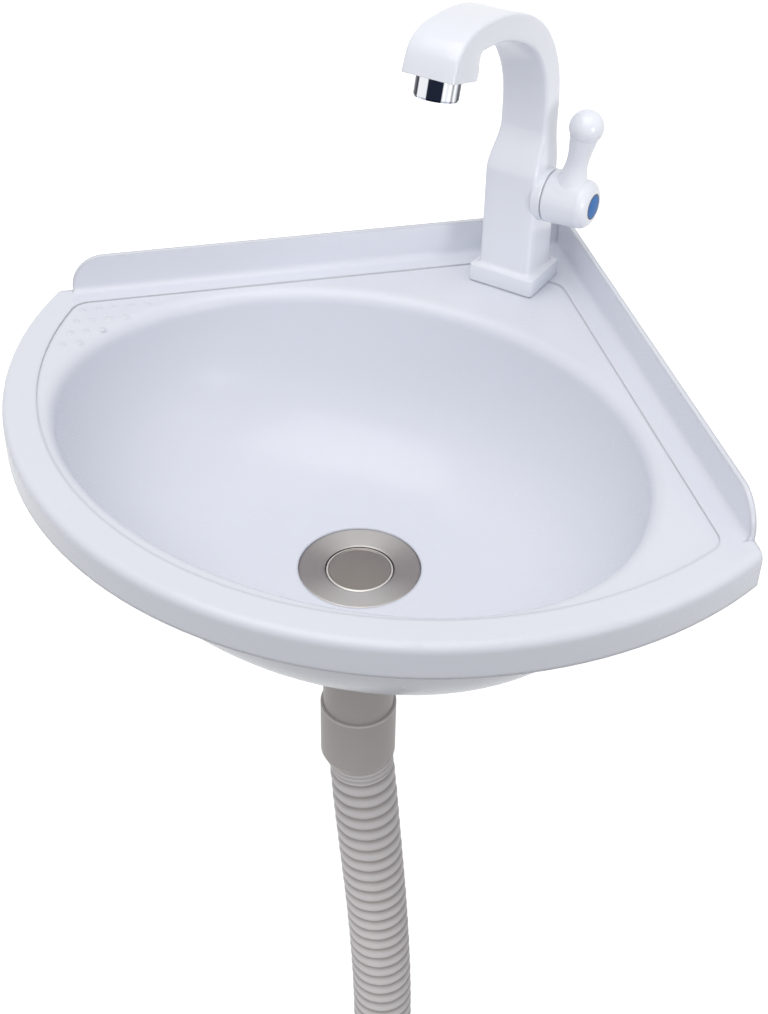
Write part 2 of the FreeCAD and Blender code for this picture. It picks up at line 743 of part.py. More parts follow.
# ---- valve, drawn along Z with +Z out of the tap's right side ----
SEAL_TOP = BORE_IN + SEAL_T
FIXED_TOP = SEAL_TOP + DISC_T
MOVING_TOP = FIXED_TOP + DISC_T
CARTRIDGE_R = BORE_R - FIT
CARTRIDGE_IN_R = CARTRIDGE_R - CARTRIDGE_WALL
BONNET_TOP = BOSS_OUT + HEX_T + BONNET_T
HUB_START = BOSS_OUT + MOVE_GAP
HUB_FLOOR = HUB_START + HUB_BORE_DEPTH
SPINDLE_TOP = HUB_FLOOR + SCREW_BITE + MOVE_GAP
INDEX_LOW = HUB_END - INDEX_T


def valve_seal():
    return on_valve(tube(CARTRIDGE_IN_R, CARTRIDGE_IN_R - SEAL_T, BORE_IN, SEAL_TOP))


def port(low, high, radius):
    """Kidney-like pair of openings: a bar through a disc, off its middle."""
    return [
        Part.makeBox(radius, radius / 2, high - low, Vector(-radius / 2, side * radius * 0.55 - radius / 4, low))
        for side in (1, -1)
    ]


def fixed_disc():
    disc = tube(CARTRIDGE_IN_R - FIT, 0, SEAL_TOP, FIXED_TOP)
    return on_valve(disc.cut(port(SEAL_TOP, FIXED_TOP, CARTRIDGE_IN_R - FIT)))


def moving_disc():
    radius = CARTRIDGE_IN_R - MOVE_GAP
    disc = tube(radius, 0, FIXED_TOP, MOVING_TOP)
    turned_port = [box.copy() for box in port(FIXED_TOP, MOVING_TOP, radius)]
    for box in turned_port:
        box.rotate(Vector(0, 0, 0), Vector(0, 0, 1), UPRIGHT)
    return on_valve(disc.cut(turned_port))


def valve_cartridge():
    """Brass housing: thin cup round the discs, six-sided bonnet outside the boss."""
    foot_top = MOVING_TOP + SPINDLE_FOOT_T + MOVE_GAP
    cup = tube(CARTRIDGE_R, CARTRIDGE_IN_R, SEAL_TOP, BOSS_OUT)
    plug = tube(CARTRIDGE_IN_R, SPINDLE_R + RUN, foot_top + DISC_T * 2, BOSS_OUT)
    bonnet = hexagon(HEX_FLATS, SPINDLE_R + RUN, BOSS_OUT, BOSS_OUT + HEX_T)
    neck_ring = tube(BONNET_R, SPINDLE_R + RUN, BOSS_OUT + HEX_T, BONNET_TOP)
    housing = cup.fuse([plug, bonnet, neck_ring]).removeSplitter()
    window = Part.makeBox(CARTRIDGE_R, BORE_R * 2, DISC_T * 2, Vector(-CARTRIDGE_R / 2, -BORE_R, foot_top))
    keep = tube(CARTRIDGE_IN_R, 0, foot_top, foot_top + DISC_T * 2)
    groove = tube(SPINDLE_R + O_RING_WIRE + FIT, SPINDLE_R, BOSS_OUT, BOSS_OUT + 2 * O_RING_WIRE + FIT)
    return on_valve(housing.cut([window.cut(keep), groove]))


def valve_spindle():
    foot = tube(CARTRIDGE_IN_R - MOVE_GAP, 0, MOVING_TOP, MOVING_TOP + SPINDLE_FOOT_T)
    shaft = tube(SPINDLE_R, 0, MOVING_TOP, SPINDLE_TOP)
    tapped = tube(SCREW_SHANK_R, 0, SPINDLE_TOP - SCREW_BITE, SPINDLE_TOP)
    return on_valve(foot.fuse(shaft).cut(tapped))


def spindle_o_ring():
    low = BOSS_OUT + FIT / 2
    return on_valve(tube(SPINDLE_R + O_RING_WIRE, SPINDLE_R + RUN, low, low + 2 * O_RING_WIRE))


# ---- handle ----
def lever():
    """Pear-shaped lever standing on the hub, drawn along Z."""
    ball_low = LEVER_BALL_UP - LEVER_BALL_R * 0.55
    ball_side = LEVER_BALL_R * math.sqrt(1 - 0.55 ** 2)
    bend = LEVER_BALL_R * COS45
    waist = Part.BSplineCurve()
    waist.interpolate([
        Vector(LEVER_ROOT_R, 0, HUB_R * 0.72),
        Vector(LEVER_WAIST_R + 0.9, 0, (HUB_R * 0.72 + LEVER_WAIST_UP) / 2 + 1),
        Vector(LEVER_WAIST_R, 0, LEVER_WAIST_UP),
        Vector((LEVER_WAIST_R + ball_side) / 2 - 0.3, 0, (LEVER_WAIST_UP + ball_low) / 2 + 1),
        Vector(ball_side, 0, ball_low),
    ])
    top = LEVER_BALL_UP + LEVER_BALL_R
    edges = [
        line(Vector(0, 0, 0), Vector(LEVER_ROOT_R, 0, 0)),
        line(Vector(LEVER_ROOT_R, 0, 0), Vector(LEVER_ROOT_R, 0, HUB_R * 0.72)),
        waist.toShape(),
        arc(Vector(ball_side, 0, ball_low), Vector(bend, 0, LEVER_BALL_UP + bend), Vector(0, 0, top)),
        line(Vector(0, 0, top), Vector(0, 0, 0)),
    ]
    stick = turned_edges(edges)
    stick.rotate(Vector(0, 0, 0), Vector(1, 0, 0), -LEVER_LEAN)
    stick.translate(Vector(0, LEVER_FOOT, VALVE_H))
    return on_tap(stick)


def hub():
    """Tapered barrel with a domed end."""
    dome_from = HUB_END - HUB_DOME
    rim = INDEX_R + FIT + 1
    edges = [
        line(Vector(0, 0, HUB_START), Vector(HUB_R - HUB_CHAMFER, 0, HUB_START)),
        line(Vector(HUB_R - HUB_CHAMFER, 0, HUB_START), Vector(HUB_R, 0, HUB_START + HUB_CHAMFER)),
        line(Vector(HUB_R, 0, HUB_START + HUB_CHAMFER), Vector(HUB_END_R, 0, dome_from)),
        arc(
            Vector(HUB_END_R, 0, dome_from),
            Vector(rim + (HUB_END_R - rim) * 0.78, 0, dome_from + HUB_DOME * 0.62),
            Vector(rim, 0, HUB_END),
        ),
        line(Vector(rim, 0, HUB_END), Vector(0, 0, HUB_END)),
        line(Vector(0, 0, HUB_END), Vector(0, 0, HUB_START)),
    ]
    return on_valve(turned_edges(edges))


def tap_handle():
    grip = hub().fuse(lever()).removeSplitter()
    hollow = tube(HUB_BORE_R, 0, HUB_START, HUB_FLOOR)
    socket = tube(SPINDLE_R + FIT, 0, HUB_FLOOR, SPINDLE_TOP + MOVE_GAP)
    shank = tube(SCREW_SHANK_R + FIT, 0, SPINDLE_TOP, INDEX_LOW)
    sink = tube(SCREW_HEAD_R + FIT, 0, INDEX_LOW - SCREW_HEAD_T - MOVE_GAP, INDEX_LOW)
    seat = tube(INDEX_R + FIT, 0, INDEX_LOW, HUB_END)
    return grip.cut([on_valve(tool) for tool in (hollow, socket, shank, sink, seat)])


def handle_screw():
    head_low = INDEX_LOW - SCREW_HEAD_T - MOVE_GAP
    head = tube(SCREW_HEAD_R, 0, head_low, head_low + SCREW_HEAD_T)
    shank = tube(SCREW_SHANK_R - FIT, 0, SPINDLE_TOP - SCREW_BITE + MOVE_GAP, head_low)
    slot = Part.makeBox(2 * SCREW_HEAD_R, 1, 1, Vector(-SCREW_HEAD_R, -0.5, head_low + SCREW_HEAD_T - 1))
    return on_valve(head.fuse(shank).cut(slot))


def index_button():
    """Coloured cold-water disc with a slightly crowned face."""
    edges = [
        line(Vector(0, 0, INDEX_LOW), Vector(INDEX_R, 0, INDEX_LOW)),
        line(Vector(INDEX_R, 0, INDEX_LOW), Vector(INDEX_R, 0, HUB_END)),
        crown_arc(INDEX_R, HUB_END, INDEX_CROWN),
        line(Vector(0, 0, HUB_END + INDEX_CROWN), Vector(0, 0, INDEX_LOW)),
    ]
    return on_valve(turned_edges(edges))


# ---- waste ----
def waste_flange():
    """Dished strainer flange with the threaded sleeve that pulls it down."""
    inner_top = FLANGE_Z + FLANGE_T - FLANGE_DISH
    ledge_in = SLEEVE_IN_R - LEDGE_IN
    profile = (
        (FLANGE_R, FLANGE_Z),
        (FLANGE_R, FLANGE_Z + FLANGE_T),
        (FLANGE_R - 1, FLANGE_Z + FLANGE_T + 0.3),
        (SLEEVE_IN_R + 1, inner_top + 0.3),
        (SLEEVE_IN_R, inner_top),
        (SLEEVE_IN_R, LEDGE_Z),
        (ledge_in, LEDGE_Z),
        (ledge_in, LEDGE_Z - LEDGE_T),
        (SLEEVE_IN_R, LEDGE_Z - LEDGE_T),
        (SLEEVE_IN_R, SLEEVE_END_Z),
        (SLEEVE_R, SLEEVE_END_Z),
        (SLEEVE_R, FLANGE_Z),
    )
    return at_drain(turned(profile))


def flange_gasket():
    return at_drain(tube(FLANGE_R - 1, WASTE_HOLE_R, SEAT_Z, FLANGE_Z))


def body_gasket():
    return at_drain(tube(COLLAR_R, WASTE_HOLE_R, COLLAR_Z, SEAT_UNDER_Z))


def waste_body():
    """Collar and cup under the bowl, then the plain tail tube."""
    outer = WASTE_BORE_R + WASTE_WALL
    slope = outer - TAIL_TUBE_R
    profile = (
        (WASTE_BORE_R, COLLAR_Z),
        (COLLAR_R, COLLAR_Z),
        (COLLAR_R, COLLAR_Z - COLLAR_T + 1),
        (COLLAR_R - 1, COLLAR_Z - COLLAR_T),
        (outer, COLLAR_Z - COLLAR_T),
        (outer, GUIDE_Z),
        (TAIL_TUBE_R, GUIDE_Z - slope * 2),
        (TAIL_TUBE_R, -TAIL_TUBE_END),
        (TAIL_BORE_R, -TAIL_TUBE_END),
        (TAIL_BORE_R, GUIDE_Z),
        (WASTE_BORE_R, GUIDE_Z),
    )
    return at_drain(turned(profile))


def plug_guide():
    """Three-armed guide held between the sleeve and the body's step."""
    ring = tube(SLEEVE_R, TAIL_BORE_R, GUIDE_Z, SLEEVE_END_Z)
    centre = tube(GUIDE_HUB_R, STEM_R + RUN, GUIDE_Z, GUIDE_TOP_Z)
    cup = tube(GUIDE_CUP_R, STEM_R + RUN, GUIDE_FLOOR_Z, GUIDE_TOP_Z)
    arms = []
    for k in range(GUIDE_ARMS):
        arm = Part.makeBox(
            TAIL_BORE_R - GUIDE_HUB_R + 1, GUIDE_ARM_T, GUIDE_ARM_H,
            Vector(GUIDE_HUB_R - 0.5, -GUIDE_ARM_T / 2, GUIDE_Z))
        arm.rotate(Vector(0, 0, 0), Vector(0, 0, 1), 360 * k / GUIDE_ARMS)
        arms.append(arm)
    whole = ring.fuse([centre] + arms).cut(cup)
    return at_drain(whole.removeSplitter())


def plug_cap():
    """Flush plug top with a rolled rim and a shallow crown."""
    edge = 0.5
    edges = [
        line(Vector(0, 0, PLUG_LOW_Z), Vector(PLUG_R, 0, PLUG_LOW_Z)),
        line(Vector(PLUG_R, 0, PLUG_LOW_Z), Vector(PLUG_R, 0, PLUG_TOP_Z - edge)),
        line(Vector(PLUG_R, 0, PLUG_TOP_Z - edge), Vector(PLUG_R - edge, 0, PLUG_TOP_Z)),
        line(Vector(PLUG_R - edge, 0, PLUG_TOP_Z), Vector(PLUG_R - 3 * edge, 0, PLUG_TOP_Z)),
        line(Vector(PLUG_R - 3 * edge, 0, PLUG_TOP_Z), Vector(PLUG_R - 4 * edge, 0, PLUG_TOP_Z - edge)),
        crown_arc(PLUG_R - 4 * edge, PLUG_TOP_Z - edge, PLUG_CROWN),
        line(Vector(0, 0, PLUG_TOP_Z - edge + PLUG_CROWN), Vector(0, 0, PLUG_LOW_Z)),
    ]
    return at_drain(turned_edges(edges))


def plug_seal():
    return at_drain(tube(PLUG_R - MOVE_GAP, STEM_R + FIT, LEDGE_Z, PLUG_LOW_Z))


def plug_stem():
    shaft = tube(STEM_R, 0, STEM_LOW_Z, PLUG_LOW_Z)
    collar = tube(STEM_COLLAR_R, 0, STEM_COLLAR_Z, STEM_COLLAR_Z + STEM_COLLAR_T)
    return at_drain(shaft.fuse(collar).removeSplitter())


def plug_spring():
    """Square-wire coil between the guide's floor and the stem's collar."""
    low = GUIDE_FLOOR_Z + SPRING_WIRE / 2 + FIT
    high = STEM_COLLAR_Z - SPRING_WIRE / 2 - FIT
    steps = SPRING_TURNS * SPRING_STEPS
    half = SPRING_WIRE / 2
    squares = []
    for k in range(steps + 1):
        turn = 2 * math.pi * k / SPRING_STEPS
        out = Vector(math.cos(turn), math.sin(turn), 0)
        middle = out * SPRING_R + Vector(0, 0, low + (high - low) * k / steps)
        corners = [middle + out * (a * half) + Vector(0, 0, b * half) for a, b in
                   ((1, 1), (-1, 1), (-1, -1), (1, -1))]
        squares.append(Part.makePolygon(corners + corners[:1]))
    return at_drain(Part.makeLoft(squares, True, True))


# ---- hose ----
def hose_cuff():
    """Socket that slides over the tail tube and holds the hose below it."""
    bore = TAIL_TUBE_R + FIT
    stop = -TAIL_TUBE_END - CUFF_SEAL_T
    profile = (
        (bore, -CUFF_TOP),
        (CUFF_R, -CUFF_TOP),
        (CUFF_R, -CUFF_TOP - CUFF_LEN),
        (HOSE_R + FIT, HOSE_TOP_Z),
        (HOSE_BORE_R, HOSE_TOP_Z),
        (HOSE_BORE_R, stop),
        (bore, stop),
    )
    return at_drain(turned(profile))


def cuff_seal():
    return at_drain(tube(TAIL_TUBE_R, HOSE_BORE_R, -TAIL_TUBE_END - CUFF_SEAL_T, -TAIL_TUBE_END))


def hose_points():
    """The route's points in the room, from the top cuff down to the end cuff."""
    top = on_diagonal(Part.Vertex(0, 0, HOSE_TOP_Z), DRAIN_OUT).Point
    drift = Vector(math.cos(math.radians(HOSE_LEAN_AZ)), math.sin(math.radians(HOSE_LEAN_AZ)), 0)
    return [top + drift * side - Vector(0, 0, drop) for side, drop in HOSE_ROUTE]


def hose_path(points):
    """Straight runs joined by tangent arcs, as (start, middle or None, end, length, radius)."""
    pieces = []
    here = points[0]
    for k in range(1, len(points) - 1):
        before, after = points[k] - points[k - 1], points[k + 1] - points[k]
        cut = 0.45 * min(before.Length, after.Length)
        turn = before.getAngle(after)
        radius = cut / math.tan(turn / 2)
        start = points[k] - before.normalize() * cut
        end = points[k] + after.normalize() * cut
        to_centre = (start + end) * 0.5 - points[k]
        middle = points[k] + to_centre.normalize() * (radius / math.cos(turn / 2) - radius)
        pieces.append((here, None, start, (start - here).Length, 0.0))
        pieces.append((start, middle, end, radius * turn, radius))
        here = end
    pieces.append((here, None, points[-1], (points[-1] - here).Length, 0.0))
    return pieces


def hose_wire(pieces):
    return Part.Wire([arc(a, m, b) if m else line(a, b) for a, m, b, _, _ in pieces])


def along_path(pieces, edges, distance):
    """Point and heading at a distance along the hose."""
    for (_, _, _, length, _), edge in zip(pieces, edges):
        if distance <= length + 1e-6:
            place = edge.getParameterByLength(max(0.0, min(distance, length)))
            return edge.valueAt(place), edge.tangentAt(place)
        distance -= length
    return edges[-1].valueAt(edges[-1].LastParameter), edges[-1].tangentAt(edges[-1].LastParameter)


def hose_circle(place, heading, radius):
    """Circle square to the hose; its X axis is the same all the way down."""
    lean = math.radians(HOSE_LEAN_AZ)
    steady = Vector(-math.sin(lean), math.cos(lean), 0)
    ring = Part.makeCircle(radius)
    ring.Placement = FreeCAD.Placement(
        place, FreeCAD.Rotation(steady, heading.cross(steady), heading, "ZXY"))
    return Part.Wire([ring])


def drain_hose():
    """Ribbed hose with its bore: plain ends, ribs with narrow grooves between."""
    pieces = hose_path(hose_points())
    length = sum(piece[3] for piece in pieces)
    edges = [arc(a, m, b) if m else line(a, b) for a, m, b, _, _ in pieces]
    stub = (length - RIB_COUNT * RIB_PITCH) / 2
    groove = HOSE_R - HOSE_GROOVE
    marks = [(0.0, HOSE_R)]
    for k in range(RIB_COUNT):
        start = stub + k * RIB_PITCH
        valley = RIB_PITCH - RIB_CREST - 2 * RIB_FLANK
        marks.append((start + valley / 2, groove))
        marks.append((start + valley / 2 + RIB_FLANK, HOSE_R))
        marks.append((start + valley / 2 + RIB_FLANK + RIB_CREST, HOSE_R))
        marks.append((start + RIB_PITCH - valley / 2, groove))
    marks.insert(1, (stub + valley / 2 - RIB_FLANK, HOSE_R))
    marks.append((length - stub, groove))
    marks.append((length - stub + RIB_FLANK, HOSE_R))
    marks.append((length, HOSE_R))
    rings = [hose_circle(*along_path(pieces, edges, far), radius) for far, radius in marks]
    outside = Part.makeLoft(rings, True, True)
    start = Part.Wire([Part.makeCircle(HOSE_BORE_R, pieces[0][0], Vector(0, 0, 1))])
    bore = hose_wire(pieces).makePipeShell([start], True, True)
    hose = outside.cut(bore)
    mean_area = math.pi * (RIB_CREST * HOSE_R ** 2 + valley * groove ** 2) / RIB_PITCH
    mean_area += math.pi * 2 * RIB_FLANK * ((HOSE_R + groove) / 2) ** 2 / RIB_PITCH
    ribbed = RIB_COUNT * RIB_PITCH
    expected = mean_area * ribbed + math.pi * HOSE_R ** 2 * (length - ribbed)
    expected -= math.pi * HOSE_BORE_R ** 2 * length
    print("hose length %.1f, radii %s" % (length, [round(p[4]) for p in pieces if p[1]]))
    print("hose volume %.0f, section times length %.0f" % (hose.Volume, expected))
    print("hose least gap between groove faces %.1f" % valley)
    return hose


def hose_end_cuff():
    """End piece: a collar round the hose's end face and a spigot for the house drain."""
    top = HOSE_TOP_Z - HOSE_ROUTE[-1][1]
    inner = SPIGOT_R - SPIGOT_WALL
    profile = (
        (inner, top),
        (END_CUFF_R, top),
        (END_CUFF_R, top - END_CUFF_LEN),
        (SPIGOT_R, top - END_CUFF_LEN),
        (SPIGOT_R, top - END_CUFF_LEN - SPIGOT_LEN),
        (inner, top - END_CUFF_LEN - SPIGOT_LEN),
    )
    end = turned(profile)
    last = hose_points()[-1]
    end.translate(Vector(last.x, last.y, 0))
    return end


PIECES = {
    "basin": basin,
    "tap_body": tap_body,
    "tap_gasket": tap_gasket,
    "tap_washer": tap_washer,
    "tap_backnut": tap_backnut,
    "aerator_shell": aerator_shell,
    "aerator_screen": aerator_screen,
    "aerator_washer": aerator_washer,
    "valve_cartridge": valve_cartridge,
    "valve_seal": valve_seal,
    "fixed_disc": fixed_disc,
    "moving_disc": moving_disc,
    "valve_spindle": valve_spindle,
    "spindle_o_ring": spindle_o_ring,
    "tap_handle": tap_handle,
    "handle_screw": handle_screw,
    "index_button": index_button,
    "waste_flange": waste_flange,
    "flange_gasket": flange_gasket,
    "body_gasket": body_gasket,
    "waste_body": waste_body,
    "plug_guide": plug_guide,
    "plug_cap": plug_cap,
    "plug_seal": plug_seal,
    "plug_stem": plug_stem,
    "plug_spring": plug_spring,
    "hose_cuff": hose_cuff,
    "cuff_seal": cuff_seal,
    "drain_hose": drain_hose,
    "hose_end_cuff": hose_end_cuff,
}

for name, make in PIECES.items():
    shape = make()
    print("%-16s solids %d, volume %.0f mm3, valid %s" % (name, len(shape.Solids), shape.Volume, shape.isValid()))
    shape.exportStep("parts/" + name + ".step")
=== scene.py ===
"""Corner wash basin: finishes, ribbed drain hose and studio around the packed part. Metres, +Z up."""
import math

import bmesh
import bpy
from bpy.props import FloatProperty, FloatVectorProperty, IntProperty, PointerProperty
from mathutils import Matrix, Vector


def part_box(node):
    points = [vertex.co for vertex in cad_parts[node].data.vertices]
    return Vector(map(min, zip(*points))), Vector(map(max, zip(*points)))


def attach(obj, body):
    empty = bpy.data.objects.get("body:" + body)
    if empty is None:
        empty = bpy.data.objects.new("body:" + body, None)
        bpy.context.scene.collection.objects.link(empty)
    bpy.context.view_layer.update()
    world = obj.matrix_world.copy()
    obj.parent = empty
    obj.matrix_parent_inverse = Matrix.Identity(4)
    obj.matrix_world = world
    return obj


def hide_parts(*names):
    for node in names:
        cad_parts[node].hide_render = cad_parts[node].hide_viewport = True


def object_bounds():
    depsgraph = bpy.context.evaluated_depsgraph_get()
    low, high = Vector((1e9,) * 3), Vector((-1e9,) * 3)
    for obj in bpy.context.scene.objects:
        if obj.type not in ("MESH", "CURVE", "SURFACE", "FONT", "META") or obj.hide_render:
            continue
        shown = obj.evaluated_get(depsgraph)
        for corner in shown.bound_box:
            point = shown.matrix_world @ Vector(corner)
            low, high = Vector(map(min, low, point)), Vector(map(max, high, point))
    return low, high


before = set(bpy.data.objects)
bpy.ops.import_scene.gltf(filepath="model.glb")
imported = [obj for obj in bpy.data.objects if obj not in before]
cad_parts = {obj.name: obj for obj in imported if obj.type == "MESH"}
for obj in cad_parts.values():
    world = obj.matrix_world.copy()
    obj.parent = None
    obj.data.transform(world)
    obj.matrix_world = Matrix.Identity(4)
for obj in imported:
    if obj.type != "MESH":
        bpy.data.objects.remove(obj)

bl_info = {
    "name": "Corner Basin",
    "version": (1, 0, 0),
    "blender": (4, 5, 0),
    "location": "View3D > Sidebar > Corner Basin",
    "description": "Finishes, drain hose and studio of a corner wash basin with a pillar tap",
    "category": "Object",
}

CAD_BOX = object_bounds()
BODY = "basin_body"
FLOOR_Z = CAD_BOX[0].z
VIEW_AZIMUTH = 0.2393418
PHOTO_RIGHT = Vector((math.cos(VIEW_AZIMUTH), -math.sin(VIEW_AZIMUTH), 0))

TAP_AXIS = (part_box("tap_backnut")[0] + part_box("tap_backnut")[1]) / 2
TAP_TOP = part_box("tap_body")[1].z
SHANK_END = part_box("tap_body")[0].z
FORWARD = Vector((-1, -1, 0)).normalized()  # out of the corner, over the bowl
SIDEWAYS = Vector((1, -1, 0)).normalized()  # the tap's handle side

WASTE_AXIS = (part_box("waste_body")[0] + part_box("waste_body")[1]) / 2
# painted highlight: the side towards which the turned steel is painted brightest
PAINTED_LIGHT_SIDE = Vector((0.25, 1.0, 0)).normalized()  # the turned steel is brightest this way

HOSE_START_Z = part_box("hose_cuff")[0].z
HOSE_LEAN = math.radians(-13.7)  # the way that the hose drifts, in plan
HOSE_ROUTE = (  # drift and drop from the cuff
    (0.0018, 0.0), (0.0078, 0.076), (0.0152, 0.164), (0.0202, 0.262), (0.0202, 0.348), (0.0178, 0.424),
    (0.0176, 0.5))


# ---- settings ----
def paint(name, description, default):
    return FloatVectorProperty(
        name=name, description=description, default=default, size=3, min=0, max=1, subtype="COLOR")


def number(name, description, default, **rules):
    return FloatProperty(name=name, description=description, default=default, **rules)


def metres(name, description, default):
    return number(name, description, default, min=0, unit="LENGTH")


class BasinSettings(bpy.types.PropertyGroup):
    """Finish of the moulded basin"""
    colour: paint("Colour", "Colour of the moulding", (0.78, 0.797, 0.862))
    second_colour: paint("Second colour", "Slow drift of the colour", (0.765, 0.785, 0.855))
    roughness: number("Roughness", "Roughness of the glossy face", 0.24, min=0, max=1, subtype="FACTOR")
    edge: metres("Edge radius", "Softness of sharp edges", 0.0032)
    grain: metres("Grain height", "Height of the fine moulding grain", 0.000006)


class TapSettings(bpy.types.PropertyGroup):
    """Finishes of the tap"""
    colour: paint("Colour", "Colour of the stoved white coat", (0.85, 0.868, 0.925))
    second_colour: paint("Second colour", "Slow drift of the coat", (0.835, 0.855, 0.92))
    roughness: number("Roughness", "Roughness of the coat", 0.16, min=0, max=1, subtype="FACTOR")
    edge: metres("Edge radius", "Softness of the coat over edges", 0.0006)
    chrome: paint("Chrome", "Colour of the outlet", (0.86, 0.88, 0.92))
    # painted reflection: colour of the dark bands painted into the chrome
    chrome_reflection_dark: paint("Chrome shade", "Dark bands in the chrome", (0.014, 0.018, 0.035))
    index: paint("Index", "Colour of the cold index", (0.03, 0.135, 0.38))
    index_rim: paint("Index rim", "Colour of the index's edge", (0.10, 0.11, 0.14))


class TapShape(bpy.types.PropertyGroup):
    """Shape of the tap's body"""
    base_wide: metres("Base width", "Width of the base plate", 0.0425)
    base_deep: metres("Base depth", "Depth of the base plate", 0.036)
    base_high: metres("Base height", "Height of the base plate", 0.0105)
    body_wide: metres("Body width", "Width of the body", 0.033)
    body_deep: metres("Body depth", "Depth of the body", 0.028)
    body_top: metres("Body top", "Where the shoulder starts", 0.072)
    shoulder_top: metres("Shoulder top", "Where the shoulder ends", 0.098)
    corner: metres("Corner", "Radius of the long edges", 0.0022)
    flare: metres("Flare", "Fillet from the plate to the body", 0.003)
    setback: metres("Setback", "Neck's axis behind the body's", 0.0055)
    neck_wide: metres("Neck width", "Width of the neck", 0.029)
    neck_deep: metres("Neck depth", "Depth of the neck at its foot", 0.017)
    neck_half: metres("Half depth", "Half the neck's depth at its highest", 0.0085)
    arch_deep: metres("Arch depth", "Depth of the neck at its highest", 0.0145)
    mouth_wide: metres("Mouth width", "Width of the head at the mouth", 0.031)
    mouth_deep: metres("Mouth depth", "Depth of the head at the mouth", 0.0265)
    reach: metres("Reach", "From the base's middle to the mouth's", 0.101)
    rise: metres("Rise radius", "Radius of the neck's long bend", 0.062)
    curl: metres("Curl radius", "Radius of the head's bend", 0.020)
    head: metres("Head length", "Last stretch before the mouth", 0.007)
    boss: metres("Boss radius", "Radius of the valve's boss", 0.0155)
    boss_out: metres("Boss end", "Boss end from the tap's middle", 0.020)
    valve_high: metres("Valve height", "Valve's axis above the deck", 0.060)
    outlet: metres("Outlet bore", "Radius of the hole for the outlet", 0.01105)
    outlet_deep: metres("Outlet depth", "Depth of the hole for the outlet", 0.012)
    shank: metres("Shank radius", "Radius over the shank's thread", 0.0104)
    thread: metres("Thread pitch", "Pitch of the shank's thread", 0.00181)
    thread_deep: metres("Thread depth", "Depth of the shank's thread", 0.0009)
    inlet: metres("Inlet bore", "Radius of the shank's bore", 0.006)
    inlet_deep: metres("Inlet depth", "Depth of the shank's bore", 0.02)


class WasteSettings(bpy.types.PropertyGroup):
    """Finishes of the waste"""
    # the steel colour also carries the painted highlight wedges, and the colour of the marks also the
    # painted shade between them
    steel: paint("Steel", "Colour of the turned steel", (0.57, 0.545, 0.52))
    marks_and_shade_steel: paint("Dark steel", "Colour in the turning marks", (0.29, 0.265, 0.26))
    cap: paint("Cap", "Colour of the plug's face", (0.29, 0.262, 0.24))
    # painted highlight: the rim colour is a bright ring painted along the plug's edge
    rim: paint("Rim", "Colour of the plug's polished rim", (0.74, 0.71, 0.66))
    highlight_wide: metres("Rim width", "Width of the plug's polished rim", 0.0013)
    ring: metres("Turning pitch", "Distance between turning marks", 0.00045)
    rubber: paint("Rubber", "Colour of the rubber seals", (0.035, 0.035, 0.037))


class HoseSettings(bpy.types.PropertyGroup):
    """Shape and finish of the hose"""
    radius: metres("Radius", "Radius over the ribs", 0.0209)
    end_radius: metres("End radius", "Radius at both plain ends", 0.0206)
    groove: metres("Groove depth", "Depth of the grooves between ribs", 0.0013)
    bore: metres("Bore radius", "Radius of the bore", 0.018)
    pitch: metres("Rib pitch", "Distance between ribs", 0.0104)
    ribs: IntProperty(name="Ribs", description="Number of full ribs", default=46, min=1)
    fine_ribs: IntProperty(name="Fine ribs", description="Fine ribs under the cuff", default=3, min=0)
    fine_depth: metres("Fine depth", "Depth of the fine ribs", 0.0006)
    slack: metres("Slack", "How far the soft wall strays from round", 0.00012)
    segments: IntProperty(name="Segments", description="Faces round the hose", default=72, min=12)
    crest: paint("Crest", "Colour of the crests", (0.63, 0.605, 0.61))
    # painted shade: colour painted into the grooves
    valley_shade: paint("Valley", "Colour in the grooves", (0.30, 0.275, 0.27))
    cuff: paint("Cuff", "Colour of the cuffs and the tail", (0.41, 0.38, 0.37))


class StudioSettings(bpy.types.PropertyGroup):
    """Camera, lamps and floor"""
    azimuth: number("Azimuth", "Compass turn of the view", VIEW_AZIMUTH, subtype="ANGLE")
    elevation: number("Elevation", "Downward tilt of the view", 0.6647575, subtype="ANGLE")
    roll: number("Roll", "Turn about the line of view", -0.0211863, subtype="ANGLE")
    lens: number("Lens", "Focal length in millimetres", 55.78, min=1)
    place: FloatVectorProperty(
        name="Place", description="Where the camera stands", default=(-0.313958, -0.833939, 0.477697),
        unit="LENGTH")
    top_power: number("Top lamp", "Watts of the top lamp", 31, min=0)
    side_power: number("Side lamp", "Watts of the side lamp", 0.9, min=0)
    tap_power: number("Tap lamp", "Watts of the spot on the tap", 9.5, min=0)
    hose_power: number("Hose lamp", "Watts of the spot on the hose", 21, min=0)
    world: number("World", "Strength of the even light", 0.57, min=0)


SETTINGS = {
    "corner_basin_shell": BasinSettings,
    "corner_basin_tap": TapSettings,
    "corner_basin_tap_shape": TapShape,
    "corner_basin_waste": WasteSettings,
    "corner_basin_hose": HoseSettings,
    "corner_basin_studio": StudioSettings,
}


# ---- nodes ----
def node(tree, kind, place=(0, 0), **values):
    """A node, its kind named without the shader prefix."""
    made = tree.nodes.new(kind if kind.startswith("NodeGroup") else "ShaderNode" + kind)
    made.location = place
    for key, value in values.items():
        setattr(made, key, value)
    return made


def fill(made, **values):
    """Sets input sockets by name, with underscores for spaces."""
    for key, value in values.items():
        made.inputs[key.replace("_", " ")].default_value = value
    return made


def join(start, output, end, entry):
    """Links an output of one node to an input of another."""
    start.id_data.links.new(start.outputs[output], end.inputs[entry])


def wire(source, target):
    """Links two sockets."""
    source.id_data.links.new(source, target)


def rgba(colour):
    return (*colour[:3], 1.0)


def shaded(colour, share):
    """A colour made darker or lighter by a share."""
    return [share * part for part in colour]


def bare_tree(holder):
    """The empty node tree of a new material or world."""
    holder.use_nodes = True
    holder.node_tree.nodes.clear()
    return holder.node_tree


